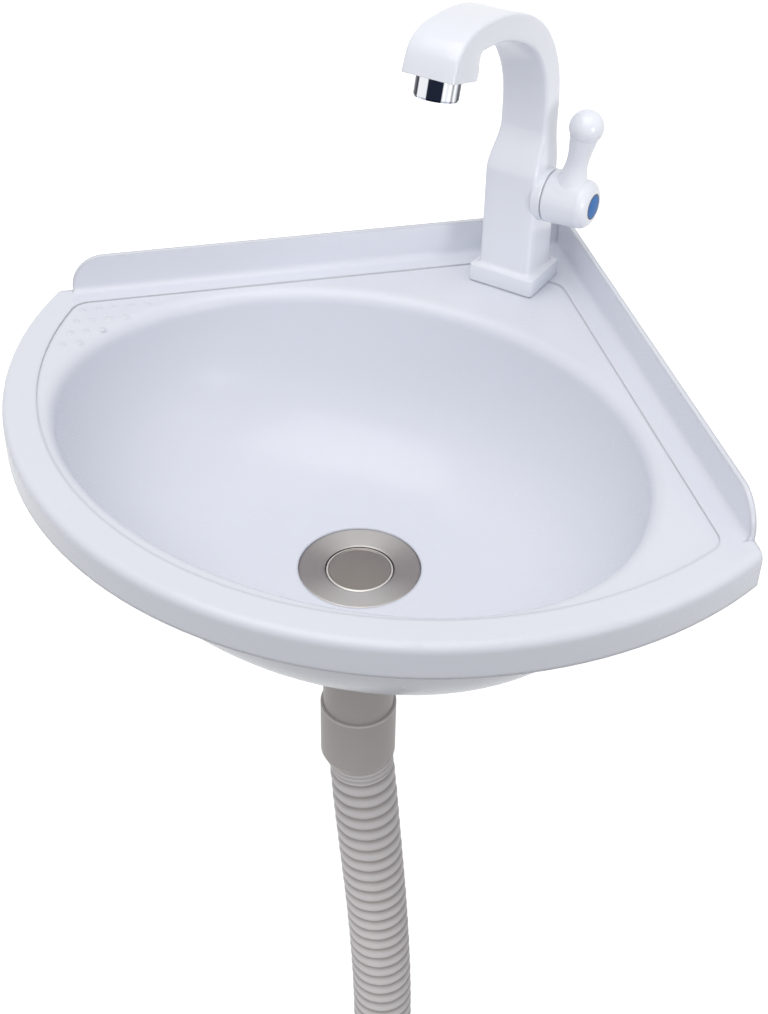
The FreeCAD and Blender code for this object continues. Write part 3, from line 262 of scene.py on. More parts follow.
def effect_group(name, inputs, outputs):
    """An empty shader group with its named sockets."""
    tree = bpy.data.node_groups.new(name, "ShaderNodeTree")
    for label, kind, default in inputs:
        socket = tree.interface.new_socket(label, in_out="INPUT", socket_type="NodeSocket" + kind)
        socket.default_value = default
    for label, kind in outputs:
        tree.interface.new_socket(label, in_out="OUTPUT", socket_type="NodeSocket" + kind)
    return tree, node(tree, "NodeGroupInput", (-900, 0)), node(tree, "NodeGroupOutput", (700, 0))


def in_space(tree, place=(-900, 300)):
    return node(tree, "TexCoord", place).outputs["Object"]


def moulded_grain():
    """Slow colour drift, a roughness spread and the fine grain of a moulded or coated face."""
    tree, entry, result = effect_group(
        "moulded_grain",
        (("Colour", "Color", (1, 1, 1, 1)), ("Second Colour", "Color", (1, 1, 1, 1)),
         ("Drift Scale", "Float", 9.0), ("Grain Scale", "Float", 900.0),
         ("Least Roughness", "Float", 0.2), ("Most Roughness", "Float", 0.3)),
        (("Colour", "Color"), ("Roughness", "Float"), ("Height", "Float")))
    space = in_space(tree)
    drift = fill(node(tree, "TexNoise", (-600, 200)), Detail=1.0, Roughness=0.4)
    grain = fill(node(tree, "TexNoise", (-600, -200)), Detail=2.0, Roughness=0.6)
    spread = node(tree, "MapRange", (0, -100), clamp=False)
    for texture in (drift, grain):
        wire(space, texture.inputs["Vector"])
    join(entry, "Drift Scale", drift, "Scale")
    join(entry, "Grain Scale", grain, "Scale")
    tint = mixed(
        tree, drift.outputs["Fac"], entry.outputs["Colour"], entry.outputs["Second Colour"], (0, 200))
    join(grain, "Fac", spread, "Value")
    join(entry, "Least Roughness", spread, "To Min")
    join(entry, "Most Roughness", spread, "To Max")
    wire(tint, result.inputs["Colour"])
    join(spread, "Result", result, "Roughness")
    join(grain, "Fac", result, "Height")
    return tree


def around_axis():
    """Distance from an axis, and how far the surface lies to one side of it, from -1 to 1."""
    tree, entry, result = effect_group(
        "around_axis",
        (("Centre", "Vector", (0, 0, 0)), ("Axis", "Vector", (0, 0, 1)), ("Side", "Vector", (1, 0, 0))),
        (("Distance", "Float"), ("Turn", "Float")))
    offset = node(tree, "VectorMath", (-700, 100), operation="SUBTRACT")
    twist = node(tree, "VectorMath", (-500, 100), operation="CROSS_PRODUCT")
    far = node(tree, "VectorMath", (-300, 200), operation="LENGTH")
    flat = node(tree, "VectorMath", (-300, 0), operation="CROSS_PRODUCT")
    unit = node(tree, "VectorMath", (-100, 0), operation="NORMALIZE")
    to_side = node(tree, "VectorMath", (100, 0), operation="DOT_PRODUCT")
    wire(in_space(tree), offset.inputs[0])
    join(entry, "Centre", offset, 1)
    join(offset, 0, twist, 0)
    join(entry, "Axis", twist, 1)
    join(twist, 0, far, 0)
    join(entry, "Axis", flat, 0)
    join(twist, 0, flat, 1)
    join(flat, 0, unit, 0)
    join(unit, 0, to_side, 0)
    join(entry, "Side", to_side, 1)
    join(far, "Value", result, "Distance")
    join(to_side, "Value", result, "Turn")
    return tree


def turning_marks():
    """Fine rings about an axis, as a lathe leaves them."""
    patch_share = 0.35
    tree, entry, result = effect_group(
        "turning_marks",
        (("Distance", "Float", 0.0), ("Pitch", "Float", 0.0005)),
        (("Mask", "Float"), ("Height", "Float")))
    count = node(tree, "Math", (-100, 100), operation="DIVIDE")
    streaks = node(tree, "TexNoise", (100, 100), noise_dimensions="1D")
    fill(streaks, Scale=1.0, Detail=2.5, Roughness=0.65)
    patches = fill(node(tree, "TexNoise", (100, -200)), Scale=60.0, Detail=2.0)
    together = node(tree, "Math", (350, 0), operation="MULTIPLY_ADD")
    together.inputs[1].default_value = patch_share
    join(entry, "Distance", count, 0)
    join(entry, "Pitch", count, 1)
    join(count, 0, streaks, "W")
    wire(in_space(tree), patches.inputs["Vector"])
    join(patches, "Fac", together, 0)
    join(streaks, "Fac", together, 2)
    join(together, 0, result, "Mask")
    join(streaks, "Fac", result, "Height")
    return tree


def settled_dust():
    """Mask of the faint film that settles on faces that look up."""
    tree, entry, result = effect_group(
        "settled_dust",
        (("Amount", "Float", 0.1), ("Scale", "Float", 40.0)),
        (("Mask", "Float"),))
    shape = node(tree, "NewGeometry", (-900, -200))
    split = node(tree, "SeparateXYZ", (-600, -200))
    specks = fill(node(tree, "TexNoise", (-600, 100)), Detail=5.0, Roughness=0.7)
    up = band(tree, split.outputs["Z"], 0.3, 1.0, (-300, -200))
    both = node(tree, "Math", (0, 0), operation="MULTIPLY")
    scaled = node(tree, "Math", (200, 0), operation="MULTIPLY")
    wire(in_space(tree), specks.inputs["Vector"])
    join(entry, "Scale", specks, "Scale")
    join(shape, "Normal", split, 0)
    join(specks, "Fac", both, 0)
    wire(up, both.inputs[1])
    join(both, 0, scaled, 0)
    join(entry, "Amount", scaled, 1)
    join(scaled, 0, result, "Mask")
    return tree


GROUPS = {}


def group_node(tree, maker, place, **values):
    """Places a shared effect, built on first use, with this material's values."""
    if maker.__name__ not in GROUPS:
        GROUPS[maker.__name__] = maker()
    made = node(tree, "Group", place)
    made.node_tree = GROUPS[maker.__name__]
    return fill(made, **values)


# ---- finishes ----
DUST = (0.62, 0.60, 0.57)


def new_finish(name, **shader_values):
    """A material with its shader, whose plain numbers are set on its own sockets."""
    finish = bpy.data.materials.new(name)
    tree = bare_tree(finish)
    shader = fill(node(tree, "BsdfPrincipled", (300, 0)), **shader_values)
    output = node(tree, "OutputMaterial", (600, 0))
    join(shader, 0, output, "Surface")
    return finish, tree, shader


def bumped(tree, shader, height, distance, edge=0.0):
    """Relief of a height in metres, over edges that the light rounds."""
    bump = fill(node(tree, "Bump", (50, -350)), Strength=1.0, Distance=distance)
    wire(height, bump.inputs["Height"])
    if edge:
        bevel = fill(node(tree, "Bevel", (-250, -450), samples=6), Radius=edge)
        join(bevel, 0, bump, "Normal")
    join(bump, 0, shader, "Normal")


def band(tree, value, start, end, place=(-300, 300)):
    """Mask that rises softly from 0 to 1 between two values."""
    rise = node(tree, "MapRange", place, interpolation_type="SMOOTHSTEP")
    fill(rise, From_Min=start, From_Max=end)
    wire(value, rise.inputs["Value"])
    return rise.outputs["Result"]


def mixed(tree, mask, below, above, place=(-200, 200)):
    """Mix of two colours, each a plain colour or a socket."""
    mix = node(tree, "Mix", place, data_type="RGBA")
    wire(mask, mix.inputs["Factor"])
    for label, colour in (("A", below), ("B", above)):
        if isinstance(colour, bpy.types.NodeSocket):
            wire(colour, mix.inputs[label])
        else:
            mix.inputs[label].default_value = rgba(colour)
    return mix.outputs["Result"]


def grain_node(tree, colour, second, drift, grain, roughness, spread, place=(-600, 0)):
    """The moulded grain, with this material's two colours, scales and roughness."""
    return group_node(
        tree, moulded_grain, place, Colour=rgba(colour), Second_Colour=rgba(second), Drift_Scale=drift,
        Grain_Scale=grain, Least_Roughness=roughness, Most_Roughness=roughness + spread)


def moulded_finish(name, colour, second, roughness, spread, drift, grain, height, edge=0.0, dust=0.0,
                   **shader_values):
    """A moulded or coated finish: colour drift, gloss spread, fine grain and a faint film."""
    finish, tree, shader = new_finish(name, **shader_values)
    face = grain_node(tree, colour, second, drift, grain, roughness, spread)
    tint = face.outputs["Colour"]
    if dust:
        film = group_node(tree, settled_dust, (-600, 300), Amount=dust)
        tint = mixed(tree, film.outputs["Mask"], tint, DUST)
    wire(tint, shader.inputs["Base Color"])
    join(face, "Roughness", shader, "Roughness")
    bumped(tree, shader, face.outputs["Height"], height, edge)
    return finish


def axis_node(tree, centre, axis, side):
    """Distance from this material's axis and turn about it."""
    return group_node(
        tree, around_axis, (-1100, 100), Centre=tuple(centre), Axis=tuple(axis), Side=tuple(side))


def painted_wedge_share(tree, turn, marks, painted_lobes):
    """Share of the light colour: the marks, and painted highlight wedges to both sides, with painted shade
    between them.
    """
    less_contrast, lower = 0.4, 0.45
    lobe = node(tree, "Math", (-800, 300), operation="MULTIPLY")
    for socket in lobe.inputs[:2]:
        wire(turn, socket)
    levelled = node(tree, "Math", (-600, 100), operation="MULTIPLY_ADD")
    levelled.inputs[1].default_value = 1.0 - less_contrast * painted_lobes
    levelled.inputs[2].default_value = -lower * painted_lobes
    wire(marks, levelled.inputs[0])
    share = node(tree, "Math", (-600, 300), operation="MULTIPLY_ADD", use_clamp=True)
    share.inputs[1].default_value = painted_lobes
    join(lobe, 0, share, 0)
    join(levelled, 0, share, 2)
    return share.outputs[0]


def turned_finish(name, colour, dark, pitch, centre, roughness, height, painted_lobes=0.0, rim=None):
    """Turned metal with its lathe marks, painted highlight wedges with painted shade between them, and a
    painted highlight at the rim.
    """
    spread, edge = 0.14, 0.0003
    finish, tree, shader = new_finish(name, Metallic=1.0)
    around = axis_node(tree, centre, (0, 0, 1), PAINTED_LIGHT_SIDE)
    marks = group_node(tree, turning_marks, (-800, 0), Pitch=pitch)
    join(around, "Distance", marks, "Distance")
    share = painted_wedge_share(tree, around.outputs["Turn"], marks.outputs["Mask"], painted_lobes)
    tint = mixed(tree, share, dark, colour)
    if rim:
        radius, wide, highlight_colour = rim
        # painted highlight: a bright ring painted just inside the plug's edge
        highlit = band(tree, around.outputs["Distance"], radius - wide, radius - 0.6 * wide)
        tint = mixed(tree, highlit, tint, highlight_colour, (0, 200))
    gloss = node(tree, "MapRange", (-200, -100), clamp=False)
    fill(gloss, To_Min=roughness, To_Max=roughness + spread)
    join(marks, "Mask", gloss, "Value")
    wire(tint, shader.inputs["Base Color"])
    join(gloss, "Result", shader, "Roughness")
    bumped(tree, shader, marks.outputs["Height"], height, edge)
    return finish


def chrome_finish(colour, shade, centre, axis):
    """Mirror plating, with a painted reflection: broad dark bands painted into its colour round its axis.
    """
    finish, tree, shader = new_finish("chrome", Metallic=1.0)
    around = axis_node(tree, centre, axis, PHOTO_RIGHT)
    turn = fill(node(tree, "MapRange", (-800, 200)), From_Min=-1.0, From_Max=1.0)
    ramp = node(tree, "ValToRGB", (-600, 200))
    stops = ramp.color_ramp.elements
    # painted reflection: dark and light bands painted by turn about the axis
    bands = (
        (0.07, shade), (0.09, colour), (0.26, colour), (0.28, shade), (0.60, shade), (0.62, colour),
        (0.78, colour), (0.82, shaded(colour, 0.25)), (0.87, colour), (0.94, shade))
    while len(stops) < len(bands):
        stops.new(0.5)
    for stop, (place, tone) in zip(stops, bands):
        stop.position = place
        stop.color = rgba(tone)
    marks = group_node(
        tree, moulded_grain, (-600, -200), Grain_Scale=500.0, Least_Roughness=0.03, Most_Roughness=0.08)
    join(around, "Turn", turn, "Value")
    join(turn, "Result", ramp, "Fac")
    join(ramp, "Color", shader, "Base Color")
    join(marks, "Roughness", shader, "Roughness")
    bumped(tree, shader, marks.outputs["Height"], 2e-6, edge=0.0002)
    return finish


def dress(finish, *names):
    """Gives kept pieces their finish."""
    for name in names:
        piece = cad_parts[name]
        piece.data.materials.clear()
        piece.data.materials.append(finish)


# ---- meshes ----
def linked(name, mesh, finish):
    """A piece in the scene with its mesh and finish."""
    piece = bpy.data.objects.new(name, mesh)
    bpy.context.scene.collection.objects.link(piece)
    mesh.materials.append(finish)
    return piece


def smoothed(made, mesh):
    """Ends an edit: faces that look outwards, with smooth light."""
    bmesh.ops.recalc_face_normals(made, faces=made.faces)
    made.to_mesh(mesh)
    made.free()
    mesh.polygons.foreach_set("use_smooth", [True] * len(mesh.polygons))


def skinned(name, stacks):
    """One mesh of closed skins, each over a stack of rings with as many points as one another."""
    made = bmesh.new()
    for rings in stacks:
        rows = [[made.verts.new(place) for place in ring] for ring in rings]
        around = len(rows[0])
        for low, high in zip(rows, rows[1:]):
            for k in range(around):
                after = (k + 1) % around
                made.faces.new((low[k], low[after], high[after], high[k]))
        made.faces.new(rows[0][::-1])
        made.faces.new(rows[-1])
    mesh = bpy.data.meshes.new(name)
    smoothed(made, mesh)
    mesh.set_sharp_from_angle(angle=math.radians(40))
    return mesh


def eased(share):
    """Soft start and end of a share from 0 to 1."""
    share = min(1.0, max(0.0, share))
    return share * share * (3 - 2 * share)


# ---- tap shape: forward, sideways and up from the deck ----
QUARTER = math.pi / 2
RISE_TURN = math.radians(60)  # the neck's long bend starts upright
CURL_TURN = math.radians(60)  # the head's bend starts level
MOUTH_HEADING = math.radians(-75)
RISE_STEPS = 14
ARCH_STEPS = 8
CURL_STEPS = 14
HEAD_STEPS = 3
FLARE_STEPS = 6
SHOULDER_STEPS = 12
CORNER_STEPS = 5
SIDE_STEPS = 3
BOSS_STEPS = 64
SHANK_STEPS = 48
THREAD_ROWS = 6  # rings to each turn of the thread
EDGE_SOFT = 0.0007  # of the base plate
RIM_SOFT = 0.0004  # of bores and of the boss


def at_tap(forward, sideways, up):
    return Vector((TAP_AXIS.x, TAP_AXIS.y, up)) + FORWARD * forward + SIDEWAYS * sideways


def square_ring(forward, height, heading, deep, wide, corner):
    """Rounded rectangle square to a centreline that climbs at the heading."""
    corners = []
    for quarter, (along, side) in enumerate(((1, 1), (-1, 1), (-1, -1), (1, -1))):
        for k in range(CORNER_STEPS):
            turn = QUARTER * (quarter + k / (CORNER_STEPS - 1))
            corners.append((
                along * (deep / 2 - corner) + corner * math.cos(turn),
                side * (wide / 2 - corner) + corner * math.sin(turn)))
    outline = []
    for k, here in enumerate(corners):
        outline.append(here)
        after = corners[(k + 1) % len(corners)]
        if k % CORNER_STEPS == CORNER_STEPS - 1:
            for step in range(1, SIDE_STEPS + 1):
                share = step / (SIDE_STEPS + 1)
                outline.append(tuple(a + (b - a) * share for a, b in zip(here, after)))
    return [
        at_tap(forward + a * math.sin(heading), b, height - a * math.cos(heading)) for a, b in outline]


def round_ring(forward, height, radius, like):
    """Circle whose points lie on the same rays as those of a square ring."""
    middle = at_tap(forward, 0, height)
    return [middle + (place - middle).normalized() * radius for place in like]


def level_ring(up, radii):
    """Level ring about the tap's axis, with its radius at each step."""
    ring = []
    for k, radius in enumerate(radii):
        turn = 2 * math.pi * k / len(radii)
        ring.append(at_tap(radius * math.cos(turn), radius * math.sin(turn), up))
    return ring


def turned_by(station, radius, sweep):
    """Where a centreline is after an arc: forward, height and heading above level."""
    forward, height, heading = station
    return (
        forward + radius * (math.sin(heading) - math.sin(heading - sweep)),
        height + radius * (math.cos(heading - sweep) - math.cos(heading)),
        heading - sweep)


def neck_stations(tap):
    """Places and headings up the neck, over the arch and down to the mouth."""
    slope = (MOUTH_HEADING - CURL_TURN) / 2  # of the last stretch
    arch_turn = QUARTER - RISE_TURN
    bends = tap.rise * (1 - math.cos(RISE_TURN)) + tap.curl * math.sin(CURL_TURN)
    fixed = bends + tap.head * math.cos(slope)
    arch = (tap.reach + tap.setback - fixed) / math.sin(arch_turn)
    top = TAP_TOP - tap.neck_half
    foot = top - tap.rise * math.sin(RISE_TURN) - arch * (1 - math.cos(arch_turn))
    stations = [(-tap.setback, foot, QUARTER)]
    arcs = (
        (tap.rise, RISE_TURN, RISE_STEPS), (arch, arch_turn, ARCH_STEPS), (tap.curl, CURL_TURN, CURL_STEPS))
    for radius, sweep, steps in arcs:
        for _ in range(steps):
            stations.append(turned_by(stations[-1], radius, sweep / steps))
    forward, height, heading = stations[-1]
    for step in range(HEAD_STEPS):
        share = (step + 1) / HEAD_STEPS
        stations.append((
            forward + tap.head * math.cos(slope) * share, height + tap.head * math.sin(slope) * share,
            heading + (MOUTH_HEADING - heading) * share))
    return stations


def plate_rings(tap):
    """Base plate with softened edges."""
    steps = (
        (0.0, EDGE_SOFT), (0.3 * EDGE_SOFT, 0.3 * EDGE_SOFT), (EDGE_SOFT, 0.0),
        (tap.base_high - EDGE_SOFT, 0.0), (tap.base_high - 0.3 * EDGE_SOFT, 0.3 * EDGE_SOFT),
        (tap.base_high, EDGE_SOFT))
    return [
        square_ring(0, up, QUARTER, tap.base_deep - 2 * inset, tap.base_wide - 2 * inset, tap.corner)
        for up, inset in steps]


def flare_rings(tap):
    """Fillet from the plate up to the body."""
    rings = []
    for k in range(FLARE_STEPS + 1):
        turn = QUARTER * k / FLARE_STEPS
        out = tap.flare * (1 - math.sin(turn))
        rings.append(square_ring(
            0, tap.base_high + tap.flare * (1 - math.cos(turn)), QUARTER, tap.body_deep + 2 * out,
            tap.body_wide + 2 * out, tap.corner + out))
    return rings


def shoulder_rings(tap):
    """Shoulder that draws the body in and back to the neck."""
    rings = []
    for k in range(SHOULDER_STEPS + 1):
        share = k / SHOULDER_STEPS
        blend = eased(share)
        rings.append(square_ring(
            -tap.setback * blend, tap.body_top + (tap.shoulder_top - tap.body_top) * share, QUARTER,
            tap.body_deep + (tap.neck_deep - tap.body_deep) * blend,
            tap.body_wide + (tap.neck_wide - tap.body_wide) * blend, tap.corner))
    return rings


def neck_rings(tap):
    """Neck, arch and head up to the rim of the mouth."""
    arch_end = RISE_STEPS + ARCH_STEPS
    rings = []
    for k, (forward, height, heading) in enumerate(neck_stations(tap)):
        thin = eased(k / arch_end)
        swell = eased((k - arch_end) / CURL_STEPS)
        deep = tap.neck_deep + (tap.arch_deep - tap.neck_deep) * thin
        rings.append(square_ring(
            forward, height, heading, deep + (tap.mouth_deep - deep) * swell,
            tap.neck_wide + (tap.mouth_wide - tap.neck_wide) * swell, tap.corner))
    return rings


def outlet_rings(tap, rim):
    """The hole in the mouth that takes the outlet, from the rim's ring inwards."""
    forward, height, heading = neck_stations(tap)[-1]
    ahead = Vector((math.cos(heading), math.sin(heading)))
    hole = ((0.0, tap.outlet + RIM_SOFT), (RIM_SOFT, tap.outlet), (tap.outlet_deep, tap.outlet))
    rings = []
    for depth, radius in hole:
        middle = Vector((forward, height)) - ahead * depth
        shifted = [place - FORWARD * ahead.x * depth - Vector((0, 0, ahead.y * depth)) for place in rim]
        rings.append(round_ring(middle.x, middle.y, radius, shifted))
    return rings


def boss_rings(tap):
    """Round boss on the body's side, behind the handle's hub."""
    sunk = 0.002
    ends = (
        (tap.body_wide / 2 - sunk, tap.boss), (tap.boss_out - RIM_SOFT, tap.boss),
        (tap.boss_out, tap.boss - RIM_SOFT))
    turns = [2 * math.pi * k / BOSS_STEPS for k in range(BOSS_STEPS)]
    return [
        [at_tap(radius * math.cos(turn), side, tap.valve_high + radius * math.sin(turn)) for turn in turns]
        for side, radius in ends]


def thread_radius(tap, row, last, around):
    """Radius of the shank's thread, which fades out at both ends."""
    sharpness = 1.3
    phase = (row / THREAD_ROWS + around) % 1.0
    crest = eased(1 - abs(2 * phase - 1) * sharpness)
    fade = eased(min(row, last - row) / THREAD_ROWS)
    return tap.shank - tap.thread_deep * (1 - crest * fade)


def shank_rings(tap):
    """Threaded shank under the base, with the inlet's hole."""
    plain, sunk = 0.0005, 0.001  # no thread at the deck, and the shank's end in the plate
    last = int((-plain - SHANK_END) / tap.thread) * THREAD_ROWS
    inlet = (
        (SHANK_END + tap.inlet_deep, tap.inlet), (SHANK_END + RIM_SOFT, tap.inlet),
        (SHANK_END, tap.inlet + RIM_SOFT))
    rings = [level_ring(up, [radius] * SHANK_STEPS) for up, radius in inlet]
    for row in range(last + 1):
        radii = [thread_radius(tap, row, last, k / SHANK_STEPS) for k in range(SHANK_STEPS)]
        rings.append(level_ring(SHANK_END + (sunk - SHANK_END) * row / last, radii))
    return rings


# ---- hose shape ----
# share of the pitch, share of the groove's depth
FINE_PROFILE = ((0.2, 0.5), (0.35, 0.0), (0.55, 0.0), (0.75, 0.5))
RIB_PROFILE = (
    (0.00, 1.00), (0.05, 0.97), (0.10, 0.86), (0.15, 0.66), (0.21, 0.42), (0.28, 0.22), (0.38, 0.07),
    (0.50, 0.00), (0.62, 0.03), (0.72, 0.11), (0.80, 0.26), (0.86, 0.48), (0.91, 0.75), (0.96, 0.94))
SWELL_RIBS = 3  # over these the hose grows from its plain end
BORE_STEPS = 60
LINE_STEPS = 24  # between two points of the route


def hose_line(points):
    """Even points of the smooth line that the route's points control."""
    curve = bpy.data.curves.new("hose_line", "CURVE")
    curve.dimensions = "3D"
    curve.resolution_u = LINE_STEPS
    spline = curve.splines.new("NURBS")
    spline.points.add(len(points) - 1)
    for control, place in zip(spline.points, points):
        control.co = (*place, 1.0)
    spline.order_u = 3
    spline.use_endpoint_u = True
    holder = bpy.data.objects.new("hose_line", curve)
    mesh = bpy.data.meshes.new_from_object(holder)
    line = [vertex.co.copy() for vertex in mesh.vertices]
    bpy.data.meshes.remove(mesh)
    bpy.data.objects.remove(holder)
    bpy.data.curves.remove(curve)
    return line


def along(line, distance):
    """Place and heading at a distance down the line."""
    for here, after in zip(line, line[1:]):
        step = (after - here).length
        if distance <= step:
            return here.lerp(after, distance / step), (after - here).normalized()
        distance -= step
    return line[-1].copy(), (line[-1] - line[-2]).normalized()


def hose_profile(hose, length):
    """(distance, radius, groove share) down the outside of the hose."""
    stub = (length - hose.ribs * hose.pitch) / 2
    fine = stub / hose.fine_ribs
    rings = [(0.0, hose.end_radius - 0.5 * hose.groove, 0.6)]
    for k in range(hose.fine_ribs):
        for share, depth in FINE_PROFILE:
            radius = hose.end_radius - 0.3 * hose.groove - depth * hose.fine_depth
            rings.append((fine * (k + share), radius, depth))
    for k in range(hose.ribs):
        grown = eased(min(k, hose.ribs - 1 - k) / SWELL_RIBS)
        full = hose.end_radius + (hose.radius - hose.end_radius) * grown
        for share, depth in RIB_PROFILE:
            rings.append((stub + hose.pitch * (k + share), full - depth * hose.groove, depth))
    rings.append((length - stub, hose.end_radius - hose.groove, 1.0))
    rings.append((length - 0.8 * stub, hose.end_radius, 0.0))
    rings.append((length, hose.end_radius, 0.0))
    return rings


def strayed(turn, distance):
    """How a soft wall strays from round, from -1 to 1."""
    return math.sin(3 * turn + 170 * distance) * math.sin(5 * turn - 410 * distance)


def hose_mesh(hose, line):
    """Ribbed tube with its bore, and the share of the groove kept on each point."""
    length = sum((after - here).length for here, after in zip(line, line[1:]))
    outside = hose_profile(hose, length)
    # the bore is painted partly darker, with a share of the painted groove shade
    inside = [(length * k / BORE_STEPS, hose.bore, 0.3) for k in range(BORE_STEPS, -1, -1)]
    steady = Vector((-math.sin(HOSE_LEAN), math.cos(HOSE_LEAN), 0))
    places, shares = [], []
    for distance, radius, share in outside + inside:
        centre, heading = along(line, distance)
        across = heading.cross(steady).normalized()
        side = across.cross(heading)
        slack = hose.slack if radius > hose.bore else 0.0
        for k in range(hose.segments):
            turn = 2 * math.pi * k / hose.segments
            out = radius + slack * strayed(turn, distance)
            places.append(centre + (side * math.cos(turn) + across * math.sin(turn)) * out)
            shares.append(share)
    rings, around = len(outside) + len(inside), hose.segments
    faces = []
    for ring in range(rings):
        low, high = ring * around, (ring + 1) % rings * around
        for k in range(around):
            after = (k + 1) % around
            faces.append((low + k, low + after, high + after, high + k))
    mesh = bpy.data.meshes.new("ribbed_hose")
    mesh.from_pydata(places, [], faces)
    made = bmesh.new()
    made.from_mesh(mesh)
    smoothed(made, mesh)
    groove = mesh.attributes.new("groove", "FLOAT", "POINT")
    groove.data.foreach_set("value", shares)
    return mesh, length


def hose_finish(hose):
    """Soft grey plastic, with painted shade: lighter on its crests and darker in its grooves."""
    finish, tree, shader = new_finish("hose_plastic", Specular_IOR_Level=0.4)
    groove = node(tree, "Attribute", (-900, 300), attribute_name="groove")
    face = grain_node(
        tree, hose.crest, shaded(hose.crest, 0.94), drift=22.0, grain=1400.0, roughness=0.42, spread=0.13)
    # painted shade: the groove share darkens the colour in the grooves
    tint = mixed(tree, groove.outputs["Fac"], face.outputs["Colour"], hose.valley_shade)
    wire(tint, shader.inputs["Base Color"])
    join(face, "Roughness", shader, "Roughness")
    bumped(tree, shader, face.outputs["Height"], 1.5e-5)
    return finish


def cuff_finish(hose):
    """Darker grey plastic of the cuffs and the waste's tail."""
    return moulded_finish(
        "cuff_plastic", hose.cuff, shaded(hose.cuff, 0.93), roughness=0.38, spread=0.12, drift=18.0,
        grain=1300.0, height=1.2e-5, edge=0.0006, Specular_IOR_Level=0.45)


def lip_highlight_finish(hose, plain):
    """The cuff's plastic, with a painted highlight on the lighter lip along its upper edge."""
    lip_low, lip_high = 0.0016, 0.0006
    finish = plain.copy()
    finish.name = "cuff_lip"
    tree = finish.node_tree
    shader = next(made for made in tree.nodes if made.type == "BSDF_PRINCIPLED")
    tint = shader.inputs["Base Color"].links[0].from_socket
    height = node(tree, "SeparateXYZ", (-700, 500))
    wire(in_space(tree, (-900, 500)), height.inputs[0])
    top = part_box("hose_cuff")[1].z
    # painted highlight: the colour painted lighter near the top of the cuff
    lip = band(tree, height.outputs["Z"], top - lip_low, top - lip_high, (-500, 500))
    lighter = mixed(tree, lip, tint, shaded(hose.cuff, 1.5), (0, 400))
    wire(lighter, shader.inputs["Base Color"])
    return finish


# ---- studio ----
TOP_LAMP = (-0.64, -0.77, 2.2), (-0.15, -0.2, 0), (2.45, 2.45)  # place, target and size
SIDE_LAMP = (1.0, -1.0, 0.55), (-0.1, -0.15, 0.05), (0.7, 1.2)
TAP_LAMP = (0.26, -0.80, 0.18)
HOSE_LAMP = (-0.9, -1.3, -0.40)
HOSE_RISE = 0.1  # of the lamp's target above the hose's middle
SPOT_WIDTH = math.radians(22)
SPOT_BLEND = 0.7
SPOT_SOFT = 0.16
FLOOR_RADIUS = 6.0
FLOOR_GREY = (0.45, 0.45, 0.45)


def hang(name, lamp, place, target):
    """Puts a lamp at its place, turned to its target."""
    holder = bpy.data.objects.new(name, lamp)
    holder.location = place
    holder.rotation_mode = "QUATERNION"
    holder.rotation_quaternion = (Vector(target) - Vector(place)).to_track_quat("-Z", "Y")
    bpy.context.scene.collection.objects.link(holder)


def area_lamp(name, place, target, size, watts):
    """A broad soft lamp."""
    lamp = bpy.data.lights.new(name, "AREA")
    lamp.shape = "RECTANGLE"
    lamp.size, lamp.size_y = size
    lamp.energy = watts
    hang(name, lamp, place, target)


def spot_lamp(name, place, target, watts):
    """A narrow soft lamp on one piece."""
    lamp = bpy.data.lights.new(name, "SPOT")
    lamp.energy = watts
    lamp.spot_size, lamp.spot_blend, lamp.shadow_soft_size = SPOT_WIDTH, SPOT_BLEND, SPOT_SOFT
    hang(name, lamp, place, target)


def seen_white(tree, place=(-600, 0)):
    """1 for what the camera, a gloss or a glass sees of the background, and 0 for its light."""
    path = node(tree, "LightPath", place)
    total = path.outputs["Is Camera Ray"]
    for k, label in enumerate(("Is Glossy Ray", "Is Transmission Ray")):
        spot = (place[0] + 200 * (k + 1), place[1])
        more = node(tree, "Math", spot, operation="ADD", use_clamp=True)
        wire(total, more.inputs[0])
        join(path, label, more, 1)
        total = more.outputs[0]
    return total


def studio_world(strength):
    """Even light, seen as white."""
    world = bpy.data.worlds.new("studio_world")
    bpy.context.scene.world = world
    tree = bare_tree(world)
    even = fill(node(tree, "Background", (0, 100)), Color=(0.97, 0.98, 1.0, 1), Strength=strength)
    white = fill(node(tree, "Background", (0, -100)), Color=(1, 1, 1, 1), Strength=1.0)
    mix = node(tree, "MixShader", (250, 0))
    output = node(tree, "OutputWorld", (500, 0))
    wire(seen_white(tree), mix.inputs[0])
    join(even, 0, mix, 1)
    join(white, 0, mix, 2)
    join(mix, 0, output, "Surface")


def floor_finish():
    """Pale floor: it takes the shadow close by, is seen white far away and clear from below."""
    finish = bpy.data.materials.new("studio_floor")
    tree = bare_tree(finish)
    matt = fill(node(tree, "BsdfDiffuse", (0, 150)), Color=rgba(FLOOR_GREY))
    shine = fill(node(tree, "Emission", (0, -150)), Color=(1, 1, 1, 1))
    far = node(tree, "VectorMath", (-700, -200), operation="LENGTH")
    level = fill(node(tree, "MapRange", (-500, -200)), From_Min=0.9, From_Max=1.6, To_Min=0.76, To_Max=1.0)
    seen = node(tree, "Math", (-200, -200), operation="MULTIPLY")
    add = node(tree, "AddShader", (250, 0))
    below = node(tree, "NewGeometry", (0, -400))
    clear = node(tree, "BsdfTransparent", (250, -300))
    sided = node(tree, "MixShader", (450, 0))
    output = node(tree, "OutputMaterial", (650, 0))
    wire(in_space(tree), far.inputs[0])
    join(far, "Value", level, "Value")
    join(level, "Result", seen, 0)
    wire(seen_white(tree, (-900, -500)), seen.inputs[1])
    join(seen, 0, shine, "Strength")
    join(matt, 0, add, 0)
    join(shine, 0, add, 1)
    join(below, "Backfacing", sided, 0)
    join(add, 0, sided, 1)
    join(clear, 0, sided, 2)
    join(sided, 0, output, "Surface")
    return finish


